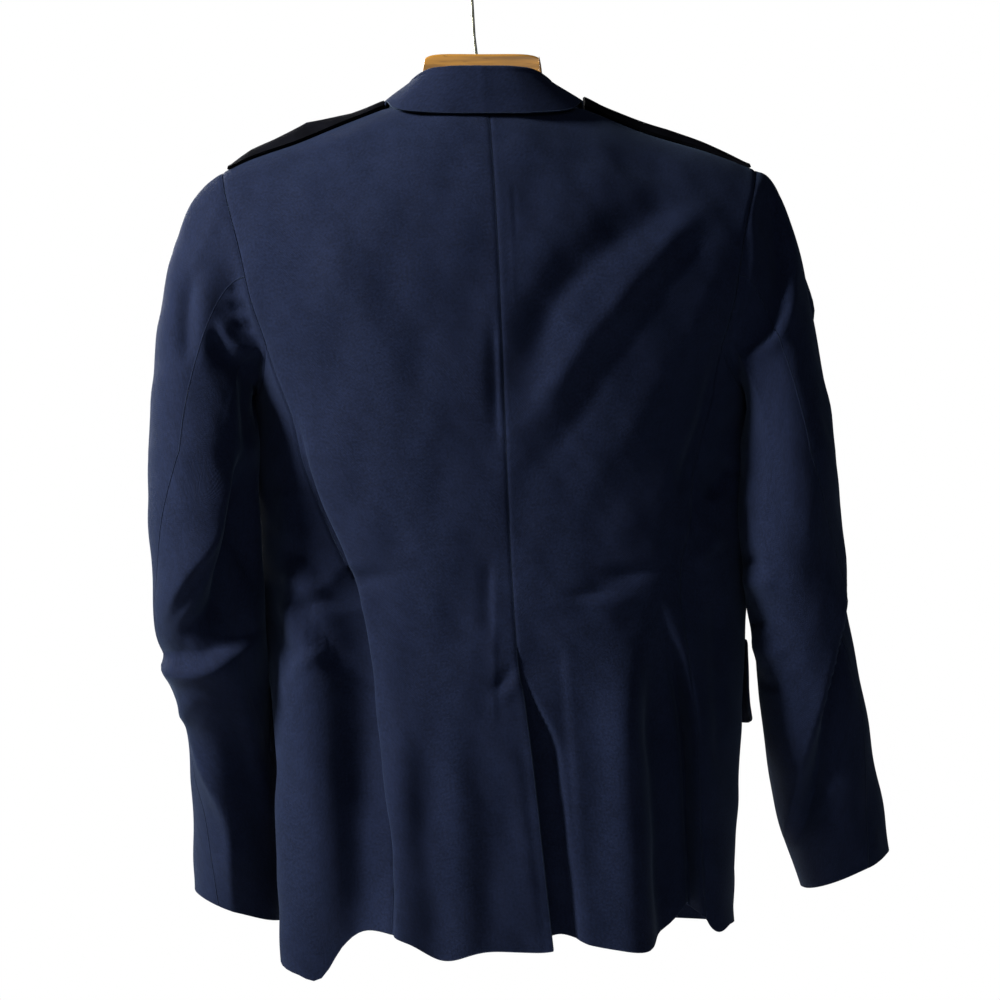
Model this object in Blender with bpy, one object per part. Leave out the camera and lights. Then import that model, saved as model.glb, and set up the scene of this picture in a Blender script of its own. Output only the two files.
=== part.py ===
"""Military dress jacket hanging on a wooden coat hanger, seen as a maker would cut it.

Metres, +Z up. The origin is the seat of the hook, the inside top of its bend. The jacket's front faces -Y,
its back faces +Y, and the wearer's left side is at +X. Tables are in millimetres.

The body is one smooth tube, body_point(turn, z): turn is 0 at the centre back, +pi/2 at the wearer's left
side, -pi/2 at the right side and pi at the centre front. Each panel is a stretch of that tube between two
seams.
"""

import math

import bmesh
import bpy
import numpy as np
from mathutils import Vector

MM = 0.001

# Driving sizes
CLOTH = 1.6 * MM  # wall of the wool and its backing
SEAM_GAP = 0.5 * MM  # clearance between two panels along a seam
ARMHOLE_GAP = 0.5 * MM  # between the sleeve and the line that the panels are cut to
TRIM_GAP = 0.4 * MM  # clearance under a piece that lies on a panel
ROUND_BACK = 2.3  # how square the section is at the back, 2 is an ellipse
ROUND_FRONT = 2.0
SHOULDER_ROLL = 180 * MM  # drop over which the shoulder reaches the full depth of the body
ROLL_POWER = 0.6

NECK_CENTRE = -7.3 * MM  # middle of the neckline, across
NECK_HALF = 87.3 * MM
NECK_DROP = 9 * MM  # centre back neckline below the neck points
NECK_CURVE = 0.7  # how flat the neckline is across the back
NECK_LEVEL = -144  # height of the neckline in the sections' own unit, where its middle is read
ARMHOLE_FOOT = -352 * MM  # height where the side seams meet the armhole
ARMHOLE_CURVE = 1.7  # how rows crowd towards the shoulder, up the armhole
UNDERARM = -398 * MM
UNDERARM_CURVE = 2.4  # how flat the armhole is under the arm
FRONT_SEAM_SHARE = 0.90  # front side seam, as a share of the half width
BREAK_HEIGHT = -352 * MM  # where the lapel starts to roll, at the top button
OVERLAP = 20 * MM  # each front runs this far past the centre
TUCK_START = 0.34  # the right front sinks in under the left one from this turn short of the centre
TUCK_RUN = 0.16  # over this much turn
TUCK_TOP = -240 * MM  # and below this height
TUCK_DROP = 60 * MM
VENT_TOP = -634 * MM
VENT_START = 22 * MM  # the right back sinks in over this length
VENT_LAP = 26 * MM  # how far the left back runs over the right at the hem
VENT_TUCK = 12 * MM  # how far the right back runs under the left
VENT_COLUMNS = 3  # columns beside the centre over which the lap dies out
VENT_UNDER = 48 * MM  # the right back lies deeper out to this far from the centre
VENT_UNDER_RUN = 14 * MM
VENT_SINK = 60 * MM  # drop over which it reaches its full depth
VENT_DEPTH = 3 * MM  # how much deeper still it lies there
BUTTON_STEP = 92 * MM
BUTTON_COUNT = 4
BUTTON_RADIUS = 10 * MM
BUTTON_FACE = 0.62  # radius of its face, as a share of its own
BUTTON_THICK = 3.2 * MM
BUTTON_START = 12 * MM  # the top button, below the break
BREAK_DIP = 0.9 * MM  # the cloth lies deeper under the top button, where the lapel starts to roll
STRAP_WIDTH = 40 * MM
STRAP_THICK = 2.6 * MM
STRAP_BACK_EDGE = 7 * MM  # its back edge, behind the top line of the shoulder
STRAP_GAP = 1.3 * MM  # its clearance over the shoulder, whose faces are flatter than its curve
STRAP_MOST_DROP = 15 * MM  # its front edge lies no further down than this
HOOK_WIRE = 1.7 * MM  # radius
HOOK_BEND = 16 * MM  # radius of the bend, to the wire's middle
HOOK_TURN = 200  # how far round the bend goes, in degrees
HOOK_STEPS = 12
HOOK_LEAN = 4 * MM  # how far the shank leans to one side
WOOD_TOP = -82 * MM
HANGER_SADDLE = 0.8 * MM  # the wood dips this far where the hook goes in

# Faces of the cloth
LOWER_ROWS = 15  # from the hem up to the armhole's foot
UPPER_ROWS = 8  # from there to the shoulder
NECK_COLUMNS = 4
SHOULDER_COLUMNS = 7
SIDE_COLUMNS = 6
CAP_ROWS = 5  # rings between the armhole and the first sleeve ring
SLEEVE_ROWS = 10
COLLAR_ROWS = 10  # stations on each side of the centre back
LAPEL_ROWS = 8
LAPEL_COLUMNS = 4
FLAP_ROWS = 3
FLAP_COLUMNS_ACROSS = 7
STRAP_ROWS = 10
STRAP_COLUMNS_ACROSS = 4
HANGER_SIDES = 16
BACK_SEAM_AT = UPPER_ROWS - 2  # places on the armhole where the sleeve's two seams start
FRONT_SEAM_AT = UPPER_ROWS + SIDE_COLUMNS + 1

# Body sections, top to bottom. centre is the centre back line, left and right the half widths from it,
# back and front the depths, lean how far forward the sides hang, seam_left and seam_right the offsets of the
# edge of each back panel: the armhole down to ARMHOLE_FOOT, and then the side seam.
SECTION_COLUMNS = ("z", "centre", "left", "right", "back", "front", "lean", "seam_left", "seam_right")
SECTIONS = (
    (-100, -9.0, 335, 330, 82, 84, 0, 243, 243),
    (-190, -15.5, 306, 300, 84, 88, 0, 246, 238),
    (-250, -19.0, 284, 276, 86, 92, 0, 234, 221),
    (-318, -22.2, 250, 243, 86, 94, 4, 220, 207),
    (-352, -23.6, 237, 230, 84, 94, 10, 211, 198),
    (-400, -25.4, 217, 207, 80, 88, 22, 195, 189),
    (-460, -27.8, 229, 214, 75, 80, 36, 185, 172),
    (-507, -29.8, 231, 213, 73, 76, 40, 171, 163),
    (-545, -31.5, 231, 215, 73, 75, 40, 154, 152),
    (-580, -33.7, 230, 214, 76, 77, 38, 139, 149),
    (-640, -38.3, 227, 208, 82, 84, 30, 137, 153),
    (-730, -45.3, 226, 196, 86, 90, 16, 136, 151),
    (-800, -50.0, 231, 186, 87, 92, 8, 133, 149),
    (-900, -57.0, 233, 178, 88, 92, 4, 131, 148),
)

# Top line of the shoulders on the hanger, across the body, with a hidden rise over the neck.
RIDGE_COLUMNS = ("x", "z")
RIDGE = (
    (-300, -205.0),
    (-253.9, -187.6),
    (-215, -173.0),
    (-155, -155.0),
    (-94.6, -131.2),
    (-50, -118.0),
    (-7.3, -112.0),
    (40, -118.0),
    (80.0, -131.2),
    (119, -146.0),
    (158, -162.0),
    (217.5, -183.5),
    (230.3, -190.0),
    (280, -212.0),
)
TIP_LEFT = 230.3 * MM
TIP_RIGHT = -253.9 * MM

# Height of the hem round the body: turn in degrees.
HEM_COLUMNS = ("turn", "z")
HEM = (
    (-180, -884),
    (-135, -880),
    (-100, -874),
    (-72, -867),
    (-58, -867),
    (-52, -850),
    (-47, -848),
    (-42, -866),
    (-36, -878),
    (-22, -879),
    (-15, -875),
    (-8, -867),
    (0, -880),
    (12, -881),
    (22, -888),
    (29, -874),
    (36, -868),
    (44, -870),
    (50, -884),
    (57, -912),
    (66, -909),
    (76, -903),
    (100, -886),
    (135, -884),
    (180, -884),
)

# The largest folds of the back: how far from the centre back line they start and end, and at what height,
# their half width, and how far they stand out (- is a trough).
FOLD_END = 0.3  # share of its length over which a fold dies out
OPEN_FOOT = -900  # a fold that reaches this height runs on through the hem
FOLD_COLUMNS = ("top_at", "top_z", "foot_at", "foot_z", "reach", "height")
FOLDS = (
    (214, -600, 222, -900, 22, 8),
    (146, -560, 168, -900, 26, -13),
    (108, -640, 118, -900, 18, 6),
    (62, -660, 68, -900, 20, 5),
    (-92, -590, -82, -900, 24, 7),
    (-120, -600, -118, -900, 14, -14),
    (-160, -620, -160, -900, 18, 5),
    (-120, -540, -60, -580, 14, -5),
    (-200, -200, -55, -440, 22, -6),
    (-150, -215, -10, -440, 20, 5),
    (-205, -400, -160, -520, 18, -6),
    (120, -545, 185, -590, 14, -5),
)

# Sleeve rings below the armhole: middle, half sizes across and front to back, slope of the ring across
# the sleeve, and how far the seams turn towards the outside, in degrees.
SLEEVE_COLUMNS = ("z", "x", "y", "across", "deep", "slope", "twist")
SLEEVE_LEFT = (
    (-445, 246, 13, 50, 57, 0.00, 8),
    (-500, 245, 15, 50, 53, 0.00, 30),
    (-560, 242, 11, 50, 51, 0.00, 50),
    (-620, 239.5, -2, 49.5, 51, 0.02, 66),
    (-660, 233, -20, 42.5, 51, 0.06, 62),
    (-700, 228, -38, 37, 52, 0.04, 50),
    (-750, 225.5, -53, 39.5, 52, 0.00, 36),
    (-805, 225, -62, 40, 52, 0.04, 22),
    (-865, 224, -66, 41, 50, 0.34, 10),
)
SLEEVE_RIGHT = (
    (-445, -282, 9, 43, 57, -0.05, 8),
    (-500, -284, 8, 46, 56, -0.08, 26),
    (-560, -289, 0, 45, 54, -0.14, 44),
    (-620, -300, -14, 45, 54, -0.18, 52),
    (-690, -312, -28, 47, 54, -0.18, 46),
    (-740, -321, -38, 48, 54, -0.20, 34),
    (-790, -332, -45, 46, 52, -0.30, 22),
    (-829, -343, -48, 41, 49, -0.44, 10),
)
CAP_FLAT = 4 * MM  # first stretch of the sleeve, in line with the body panel
# How the sleeve head curves: its pull out of the armhole and into the first ring, and how far it spreads.
CAP_COLUMNS = ("out_pull", "down_pull", "spread")
CAP_LEFT = (0.68, 0.75, 0.03)
CAP_RIGHT = (0.42, 0.75, -0.14)

# Collar stations from the centre back (0) to the neck point (1) and its front end (2): how far out of the
# neck's middle its roll and its falling edge lie, how far back (forward is -), and how high.
COLLAR_COLUMNS = ("at", "roll_out", "roll_y", "roll_z", "fall_out", "fall_y", "fall_z")
COLLAR = (
    (0.0, 0, 38, -101.5, 0, 46.5, -144),
    (0.4, 30, 35, -101.5, 46, 43, -143),
    (0.75, 49, 24, -103, 79, 28, -137),
    (1.0, 61, 5, -108, 88, 9, -127),
    (1.3, 64, -20, -114, 90, -20, -137),
    (1.65, 61, -44, -135, 89, -47, -162),
    (2.0, 52, -64, -167, 80, -69, -196),
)
COLLAR_FOLD = 2.9 * MM  # radius of the folded edge
ROLL_CENTRE = -4.5 * MM  # middle of the roll, across
STAND_INSET = 1.2 * MM  # the stand's foot, inside the neckline at the neck point
GORGE_DROP = 58 * MM  # the collar's front end, below the neck point
LAPEL_WIDTH = 74 * MM
LAPEL_TOP = -198 * MM  # height of the lapel's top edge at its roll
LAPEL_POINT = -214 * MM  # and at its point
LAPEL_INSET = 2.5 * MM  # its roll, inside the front's edge
LAPEL_FOOT = 6 * MM  # where the left lapel starts, above the break
LAPEL_FOOT_UNDER = 53 * MM  # and the right one, which comes out from under the left front

# Pocket flaps: their two ends as turns in degrees, the height of the seam, the drop, and how far the foot
# stands off.
FLAP_COLUMNS = ("side", "back_turn", "front_turn", "top_z", "drop", "lift")
FLAPS = (
    (1, 91, 150, -642, 80, 6),
    (-1, 86, 150, -617, 76, 7),
)
FLAP_CORNER = 6 * MM  # its corners are cut up by this much
FLAP_GAP = 0.9 * MM  # clearance along its seam

# How high the middle of a shoulder strap arches, by the share of the way from the armhole to the neck.
STRAP_COLUMNS = ("from_tip", "arch")
STRAP_LEFT = (
    (0.0, 1.5),
    (0.07, 5),
    (0.14, 8),
    (0.28, 10),
    (0.42, 13.5),
    (0.50, 15.5),
    (0.6, 12),
    (0.79, 6),
    (1.0, 5),
)
STRAP_RIGHT = (
    (0.0, 1.5),
    (0.12, 4),
    (0.30, 7),
    (0.50, 9),
    (0.72, 8.5),
    (0.9, 8),
    (1.0, 9),
)
STRAP_TIP_INSET = 5 * MM
STRAP_NECK_INSET = 4.5 * MM
STRAP_POINT = 0.35  # how much it narrows at the neck end

# Hanger: across, top and bottom heights, and half its thickness front to back.
HANGER_COLUMNS = ("x", "top", "bottom", "thick")
HANGER = (
    (-240, -189, -204, 5),
    (-225, -180.3, -206, 8),
    (-190, -169.0, -200, 8),
    (-140, -152.6, -190, 8),
    (-100, -139.0, -178, 7),
    (-76, -136, -170, 7),
    (-62, -119, -156, 7),
    (-60, -98, -148, 7),
    (-58, -86.5, -143, 7),
    (-47, -82.3, -140, 7),
    (-5, -83.4, -136, 7),
    (37, -82.3, -140, 7),
    (46.5, -86.5, -143, 7),
    (49, -98, -148, 7),
    (52, -119, -156, 7),
    (64, -136, -170, 7),
    (86, -139.5, -178, 7),
    (125, -152.5, -190, 8),
    (170, -170.0, -200, 8),
    (202, -181.6, -206, 8),
    (217, -191, -204, 5),
)

MATERIALS = {  # colour, roughness, metallic
    "navy_wool": ((0.020, 0.025, 0.046), 0.85, 0.0),
    "strap_wool": ((0.008, 0.009, 0.014), 0.85, 0.0),
    "dark_button": ((0.012, 0.013, 0.018), 0.35, 0.0),
    "varnished_wood": ((0.29, 0.15, 0.055), 0.32, 0.0),
    "steel": ((0.55, 0.56, 0.58), 0.28, 1.0),
}


def clear_scene():
    for thing in list(bpy.data.objects):
        bpy.data.objects.remove(thing, do_unlink=True)


def make_materials():
    made = {}
    for name, (colour, roughness, metallic) in MATERIALS.items():
        material = bpy.data.materials.new(name)
        material.use_nodes = True
        shader = material.node_tree.nodes["Principled BSDF"]
        shader.inputs["Base Color"].default_value = (*colour, 1.0)
        shader.inputs["Roughness"].default_value = roughness
        shader.inputs["Metallic"].default_value = metallic
        made[name] = material
    return made


def named(columns, rows):
    """Each row of a short table as a dictionary."""
    return [dict(zip(columns, row)) for row in rows]


class Table:
    """Rows of named columns, read smoothly between the rows. Lengths come out in metres."""

    def __init__(self, columns, rows, key, plain=()):
        order = sorted(rows, key=lambda row: row[columns.index(key)])
        self.at = np.array([row[columns.index(key)] for row in order], float)
        self.values = {}
        for name in columns:
            unit = 1.0 if name in plain else MM
            self.values[name] = np.array([row[columns.index(name)] for row in order], float) * unit
        self.slopes = {name: np.gradient(values, self.at) for name, values in self.values.items()}

    def read(self, name, where):
        """Cubic through the rows; where is in the key's own unit."""
        where = np.clip(np.asarray(where, float), self.at[0], self.at[-1])
        low = np.clip(np.searchsorted(self.at, where) - 1, 0, len(self.at) - 2)
        step = self.at[low + 1] - self.at[low]
        t = (where - self.at[low]) / step
        first, last = self.values[name][low], self.values[name][low + 1]
        slope_in, slope_out = self.slopes[name][low] * step, self.slopes[name][low + 1] * step
        return (
            first * (1 + 2 * t) * (1 - t) ** 2
            + slope_in * t * (1 - t) ** 2
            + last * t**2 * (3 - 2 * t)
            + slope_out * t**2 * (t - 1)
        )


sections = Table(SECTION_COLUMNS, SECTIONS, "z")
ridge_line = Table(RIDGE_COLUMNS, RIDGE, "x")
hem_line = Table(HEM_COLUMNS, HEM, "turn", plain=("turn",))
collar_table = Table(COLLAR_COLUMNS, COLLAR, "at", plain=("at",))


def ridge(x):
    return ridge_line.read("z", x / MM)


def ridge_at(x):
    return float(ridge(np.array(x)))


def tip_of(side):
    return TIP_LEFT if side > 0 else TIP_RIGHT


def neck_point(side):
    return NECK_CENTRE + side * NECK_HALF


def side_name(side):
    return "left" if side > 0 else "right"


def ease(t):
    t = np.clip(t, 0, 1)
    return t * t * (3 - 2 * t)


def bare_point(turn, z):
    """A point of the body before its folds."""
    turn, z = np.broadcast_arrays(np.asarray(turn, float), np.asarray(z, float))
    row = {name: sections.read(name, z / MM) for name in SECTION_COLUMNS[1:7]}
    across = np.sin(turn)
    behind = np.cos(turn)
    x = row["centre"] + np.where(across >= 0, row["left"], row["right"]) * across
    square = np.where(behind >= 0, ROUND_BACK, ROUND_FRONT)
    depth = np.where(behind >= 0, row["back"], -row["front"])
    share = np.clip(1 - np.abs(across) ** square, 0, 1) ** (1 / square)
    fallen = np.clip((ridge(x) - z) / SHOULDER_ROLL, 0, 1)
    roll = (1 - (1 - fallen) ** 2) ** ROLL_POWER
    seam = np.clip(behind * 8, -1, 1) * SEAM_GAP / 2
    return np.stack([x, depth * share * roll + seam - row["lean"] * across**4, z], axis=-1)


def crossing(point_at, turn, z):
    """Unit normal of a surface given by turn and height, pointing out. On the ridge it stands upright."""
    turn, z = np.broadcast_arrays(np.asarray(turn, float), np.asarray(z, float))
    step_turn, step_z = 0.012, 1.5 * MM
    along = point_at(turn + step_turn, z) - point_at(turn - step_turn, z)
    up = point_at(turn, z + step_z) - point_at(turn, z - step_z)
    normal = np.cross(up, along)
    fallen = ridge(point_at(turn, z)[..., 0]) - z
    normal[..., 1] *= ease(fallen / (4 * MM))
    return normal / np.maximum(np.linalg.norm(normal, axis=-1, keepdims=True), 1e-9)


def fold_height(x, z, behind):
    """Sum of the large folds at a place on the back."""
    offset = x - sections.read("centre", z / MM)
    total = np.zeros_like(x)
    for fold in named(FOLD_COLUMNS, FOLDS):
        rise = fold["top_z"] - fold["foot_z"]
        lean = fold["top_at"] - fold["foot_at"]
        along = (z / MM - fold["foot_z"]) / rise
        line = (fold["foot_at"] + lean * along) * MM
        beside = (offset - line) / (fold["reach"] * MM * math.hypot(rise, lean) / rise)
        fade = ease((1 - along) / FOLD_END)
        if fold["foot_z"] > OPEN_FOOT:
            fade = fade * ease(along / FOLD_END)
        total += fold["height"] * MM * np.exp(-(beside**2)) * fade
    return total * ease(behind * 3)


def folded_point(turn, z):
    turn, z = np.broadcast_arrays(np.asarray(turn, float), np.asarray(z, float))
    bare = bare_point(turn, z)
    return bare + crossing(bare_point, turn, z) * fold_height(bare[..., 0], z, np.cos(turn))[..., None]


def body_point(turn, z, out=0.0):
    """A point of the body with its folds, moved out by out."""
    out = np.broadcast_to(out, np.broadcast(turn, z).shape)
    return folded_point(turn, z) + crossing(folded_point, turn, z) * out[..., None]


def half_width(side, z):
    return sections.read("left" if side > 0 else "right", z / MM)


def turn_at(side, offset, z, front=False):
    """Turn of the place that lies offset out from the centre back line, on one side of the body."""
    angle = np.arcsin(np.clip(offset / half_width(side, z), -1, 1))
    return side * (math.pi - angle if front else angle)


def back_edge(side, z):
    """Turn of the back panel's outer edge: the armhole, then the side seam."""
    return turn_at(side, sections.read("seam_left" if side > 0 else "seam_right", z / MM), z)


def front_edge(side, z):
    """Turn of the front panel's outer edge."""
    tip_z = ridge_at(tip_of(side))
    at_tip = abs(tip_of(side) - float(sections.read("centre", tip_z / MM)))
    risen = ease((z - ARMHOLE_FOOT) / (tip_z - ARMHOLE_FOOT)) ** 1.4
    offset = FRONT_SEAM_SHARE * half_width(side, z) * (1 - risen) + at_tip * risen
    return turn_at(side, offset, z, front=True)


def neckline(x):
    """Height of the back neckline, or of the shoulder beyond it."""
    inside = np.clip(1 - ((x - NECK_CENTRE) / NECK_HALF) ** 2, 0, 1)
    neck = ridge_at(neck_point(1)) - NECK_DROP * inside**NECK_CURVE
    return np.where(inside > 0, neck, ridge(x))


def gap_turn(side, z):
    """Half a seam's clearance, as a turn."""
    return SEAM_GAP / 2 / half_width(side, z)


def upper_step(row):
    """Share of the way up above the armhole's foot: rows are closer near the shoulder."""
    return 1 - (1 - row / UPPER_ROWS) ** ARMHOLE_CURVE


def panel_grid(side, near, far, top_x, front):
    """Grid of (turn, z) for a back or front panel: columns from near, at the centre, to far, at the side."""
    top_x = np.asarray(top_x, float)
    top_z = ridge(top_x) if front else neckline(top_x)
    centre = sections.read("centre", top_z / MM)
    top_turn = turn_at(side, np.abs(top_x - centre), top_z, front)
    low, high = near(top_z), far(np.minimum(top_z, top_z[-1]))
    share = (top_turn - low) / (high - low)
    share[-1] = 1.0
    if front:
        share[0] = 0.0
    turns, heights = [], []
    for row in range(LOWER_ROWS + UPPER_ROWS + 1):
        z = np.full_like(top_x, ARMHOLE_FOOT)
        if row <= LOWER_ROWS:
            for _ in range(3):
                turn = near(z) + (far(z) - near(z)) * share
                hem = hem_line.read("z", np.degrees(turn))
                z = hem + (ARMHOLE_FOOT - hem) * row / LOWER_ROWS
        else:
            z = ARMHOLE_FOOT + (top_z - ARMHOLE_FOOT) * upper_step(row - LOWER_ROWS)
        z_far = np.minimum(z, top_z[-1])
        turns.append(near(z) + (far(z_far) - near(z)) * share)
        heights.append(z)
    return np.array(turns), np.array(heights)


def grid_normals(points, closed=False):
    """Unit normals of a grid, from its neighbours along and across."""
    along = np.gradient(points, axis=0)
    across = np.gradient(points, axis=1)
    if closed:
        across = np.roll(points, -1, axis=1) - np.roll(points, 1, axis=1)
    normal = np.cross(along, across)
    return normal / np.maximum(np.linalg.norm(normal, axis=-1, keepdims=True), 1e-9)


def add_wall(name, points, normals, material, parts, side=1, wall=CLOTH):
    """A sheet of cloth: a grid of outer points, the same grid a wall inside it, and the edges between."""
    rows, columns = points.shape[:2]
    inner = points - normals * wall
    count = rows * columns
    faces = []

    def add(*corners):
        faces.append(corners if side > 0 else corners[::-1])

    for row in range(rows - 1):
        for column in range(columns - 1):
            first = row * columns + column
            near, far = (first, first + 1), (first + columns, first + columns + 1)
            add(near[0], far[0], far[1], near[1])
            add(*(corner + count for corner in (near[0], near[1], far[1], far[0])))
    for row in range(rows - 1):
        for column, flip in ((0, True), (columns - 1, False)):
            low = row * columns + column
            edge = (low, low + columns, low + columns + count, low + count)
            add(*(edge[::-1] if flip else edge))
    for column in range(columns - 1):
        for row, flip in ((0, False), (rows - 1, True)):
            left = row * columns + column
            edge = (left, left + 1, left + 1 + count, left + count)
            add(*(edge[::-1] if flip else edge))
    mesh = bpy.data.meshes.new(name)
    every = np.concatenate([points.reshape(-1, 3), inner.reshape(-1, 3)])
    mesh.from_pydata([tuple(point) for point in every], [], faces)
    mesh.materials.append(material)
    mesh.shade_smooth()
    mesh.set_sharp_from_angle(angle=math.radians(50))
    piece = bpy.data.objects.new(name, mesh)
    parts.objects.link(piece)
    return piece


def shoulder_xs(side):
    """Places along the shoulder seam, from the neck point to the tip."""
    return np.linspace(neck_point(side), tip_of(side), SHOULDER_COLUMNS + 1)


def back_grid(side):
    centre_top = float(sections.read("centre", NECK_LEVEL))
    neck_xs = np.linspace(centre_top, neck_point(side), NECK_COLUMNS + 1)[:-1]
    top_x = np.concatenate([neck_xs, shoulder_xs(side)])

    def near(z):
        return side * gap_turn(side, z)

    def far(z):
        return back_edge(side, z) - side * gap_turn(side, z)

    return panel_grid(side, near, far, top_x, front=False)


def build_back(side, materials, parts):
    """Back panel. Below the vent's top the left one laps over the right one, which lies deeper there."""
    turns, heights = back_grid(side)
    hem = float(hem_line.read("z", 0))
    opened = ease((VENT_TOP + VENT_START - heights) / VENT_START)
    lapped = ease((VENT_TOP - heights) / VENT_START)
    down = np.clip((VENT_TOP - heights) / (VENT_TOP - hem), 0, 1)
    lap = VENT_LAP * (0.3 + 0.7 * down) if side > 0 else VENT_TUCK + 0 * down
    nearness = np.clip(1 - np.arange(turns.shape[1]) / VENT_COLUMNS, 0, 1)[None, :] ** 1.5
    across = np.sin(turns) * half_width(side, heights) - side * lap * lapped * nearness
    turns = turn_at(side, side * across, heights)
    deeper = np.zeros_like(heights)
    if side < 0:
        under_lap = ease((VENT_UNDER - np.abs(across) * (across < 0)) / VENT_UNDER_RUN)
        sunk = VENT_DEPTH * ease((VENT_TOP - heights) / VENT_SINK)
        deeper = -(CLOTH + TRIM_GAP + sunk) * opened * under_lap
    points = body_point(turns, heights, deeper)
    normals = crossing(folded_point, turns, heights)
    return add_wall(f"back_{side_name(side)}", points, normals, materials["navy_wool"], parts, side)


def side_grid(side):
    share = np.linspace(0, 1, SIDE_COLUMNS + 1)
    dip = np.abs(2 * share - 1) ** UNDERARM_CURVE
    top = UNDERARM + (ARMHOLE_FOOT - UNDERARM) * dip
    turns, heights = [], []
    for row in range(LOWER_ROWS + 1):
        z = np.full_like(share, ARMHOLE_FOOT)
        for _ in range(3):
            near = back_edge(side, z) + side * gap_turn(side, z)
            far = front_edge(side, z) - side * gap_turn(side, z)
            turn = near + (far - near) * share
            hem = hem_line.read("z", np.degrees(turn))
            z = hem + (top - hem) * row / LOWER_ROWS
        turns.append(turn)
        heights.append(z)
    return np.array(turns), np.array(heights)


def build_side(side, materials, parts):
    turns, heights = side_grid(side)
    points, normals = body_point(turns, heights), crossing(folded_point, turns, heights)
    return add_wall(f"side_{side_name(side)}", points, normals, materials["navy_wool"], parts, side)


def roll_turn(side, z):
    """Turn of the front's centre edge: straight up to the break, then along the lapel's roll to the neck."""
    neck_z = ridge_at(neck_point(side))
    offset = abs(neck_point(side) - float(sections.read("centre", neck_z / MM)))
    neck_turn = float(turn_at(side, offset, neck_z, True))
    past = side * (math.pi + OVERLAP / half_width(side, z))
    rise = np.clip((z - BREAK_HEIGHT) / (neck_z - BREAK_HEIGHT), 0, 1) ** 1.1
    return past + (neck_turn - past) * rise


def front_grid(side):
    """Columns from the centre front edge, or the lapel's roll, to the side."""

    def near(z):
        return roll_turn(side, z)

    def far(z):
        return front_edge(side, z) + side * gap_turn(side, z)

    return panel_grid(side, near, far, shoulder_xs(side), front=True)


def tuck(side, turns, heights):
    """How far the right front lies inside the left one, where they overlap at the centre."""
    if side > 0:
        return np.zeros_like(heights)
    past_centre = ease((np.abs(turns) - (math.pi - TUCK_START)) / TUCK_RUN)
    return -(CLOTH + 2 * TRIM_GAP) * past_centre * ease((TUCK_TOP - heights) / TUCK_DROP)


def build_front(side, materials, parts):
    turns, heights = front_grid(side)
    points = body_point(turns, heights, tuck(side, turns, heights))
    normals = crossing(folded_point, turns, heights)
    return add_wall(f"front_{side_name(side)}", points, normals, materials["navy_wool"], parts, -side)


def armhole_ring(side):
    """The seam line round the armhole, from the shoulder tip down the back, under the arm and up the front.

    Gives its points, the body's normals there, and the directions that lead off the body."""
    tip_z = ridge_at(tip_of(side))
    down = ARMHOLE_FOOT + (tip_z - ARMHOLE_FOOT) * upper_step(np.arange(UPPER_ROWS, -1, -1))
    share = np.linspace(0, 1, SIDE_COLUMNS + 1)[1:-1]
    under = UNDERARM + (ARMHOLE_FOOT - UNDERARM) * np.abs(2 * share - 1) ** UNDERARM_CURVE
    under_turn = back_edge(side, under) + (front_edge(side, under) - back_edge(side, under)) * share
    up = down[::-1][:-1]
    heights = np.concatenate([down, under, up])
    turns = np.concatenate([back_edge(side, down), under_turn, front_edge(side, up)])
    points = body_point(turns, heights)
    points[0, 1] = 0.0
    normals = crossing(folded_point, turns, heights)
    edge = np.roll(points, -1, axis=0) - np.roll(points, 1, axis=0)
    leads = -side * np.cross(normals, edge)
    return points, normals, leads / np.linalg.norm(leads, axis=-1, keepdims=True)


def sleeve_grid(side):
    """Rings of the whole sleeve tube, from the armhole to the cuff, and their normals."""
    rows = SLEEVE_LEFT if side > 0 else SLEEVE_RIGHT
    table = Table(SLEEVE_COLUMNS, rows, "z", plain=("slope", "twist"))
    armhole, body_normals, leads = armhole_ring(side)
    length = np.linalg.norm(np.roll(armhole, -1, axis=0) - armhole, axis=-1)
    walked = np.concatenate([[0], np.cumsum(length)])
    underarm = UPPER_ROWS + SIDE_COLUMNS // 2
    angle = np.interp(walked[:-1], [0, walked[underarm], walked[-1]], [0, math.pi, 2 * math.pi])

    def ring(z):
        row = {name: float(table.read(name, z)) for name in SLEEVE_COLUMNS[1:]}
        turned = angle - math.radians(row["twist"])
        x = side * row["across"] * np.cos(turned)
        y = row["y"] + row["deep"] * np.sin(turned)
        return np.stack([row["x"] + x, y, z * MM + row["slope"] * x], axis=-1)

    first = ring(table.at[-1])
    start = armhole + leads * (ARMHOLE_GAP + CAP_FLAT)
    reach = np.linalg.norm(first - start, axis=-1, keepdims=True)
    cap = dict(zip(CAP_COLUMNS, CAP_LEFT if side > 0 else CAP_RIGHT))
    out_of = leads * reach * cap["out_pull"]
    into = np.array([cap["spread"], 0, -1.0]) * reach * cap["down_pull"]
    rings = [armhole + leads * ARMHOLE_GAP, start]
    for step in range(1, CAP_ROWS):
        t = step / CAP_ROWS
        rings.append(
            start * (1 + 2 * t) * (1 - t) ** 2
            + out_of * t * (1 - t) ** 2
            + first * t**2 * (3 - 2 * t)
            + into * t**2 * (t - 1)
        )
    for z in np.linspace(table.at[-1], table.at[0], SLEEVE_ROWS + 1):
        rings.append(ring(z))
    points = np.array(rings)
    normals = side * grid_normals(points, closed=True)
    normals[0] = body_normals
    return points, normals


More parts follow.
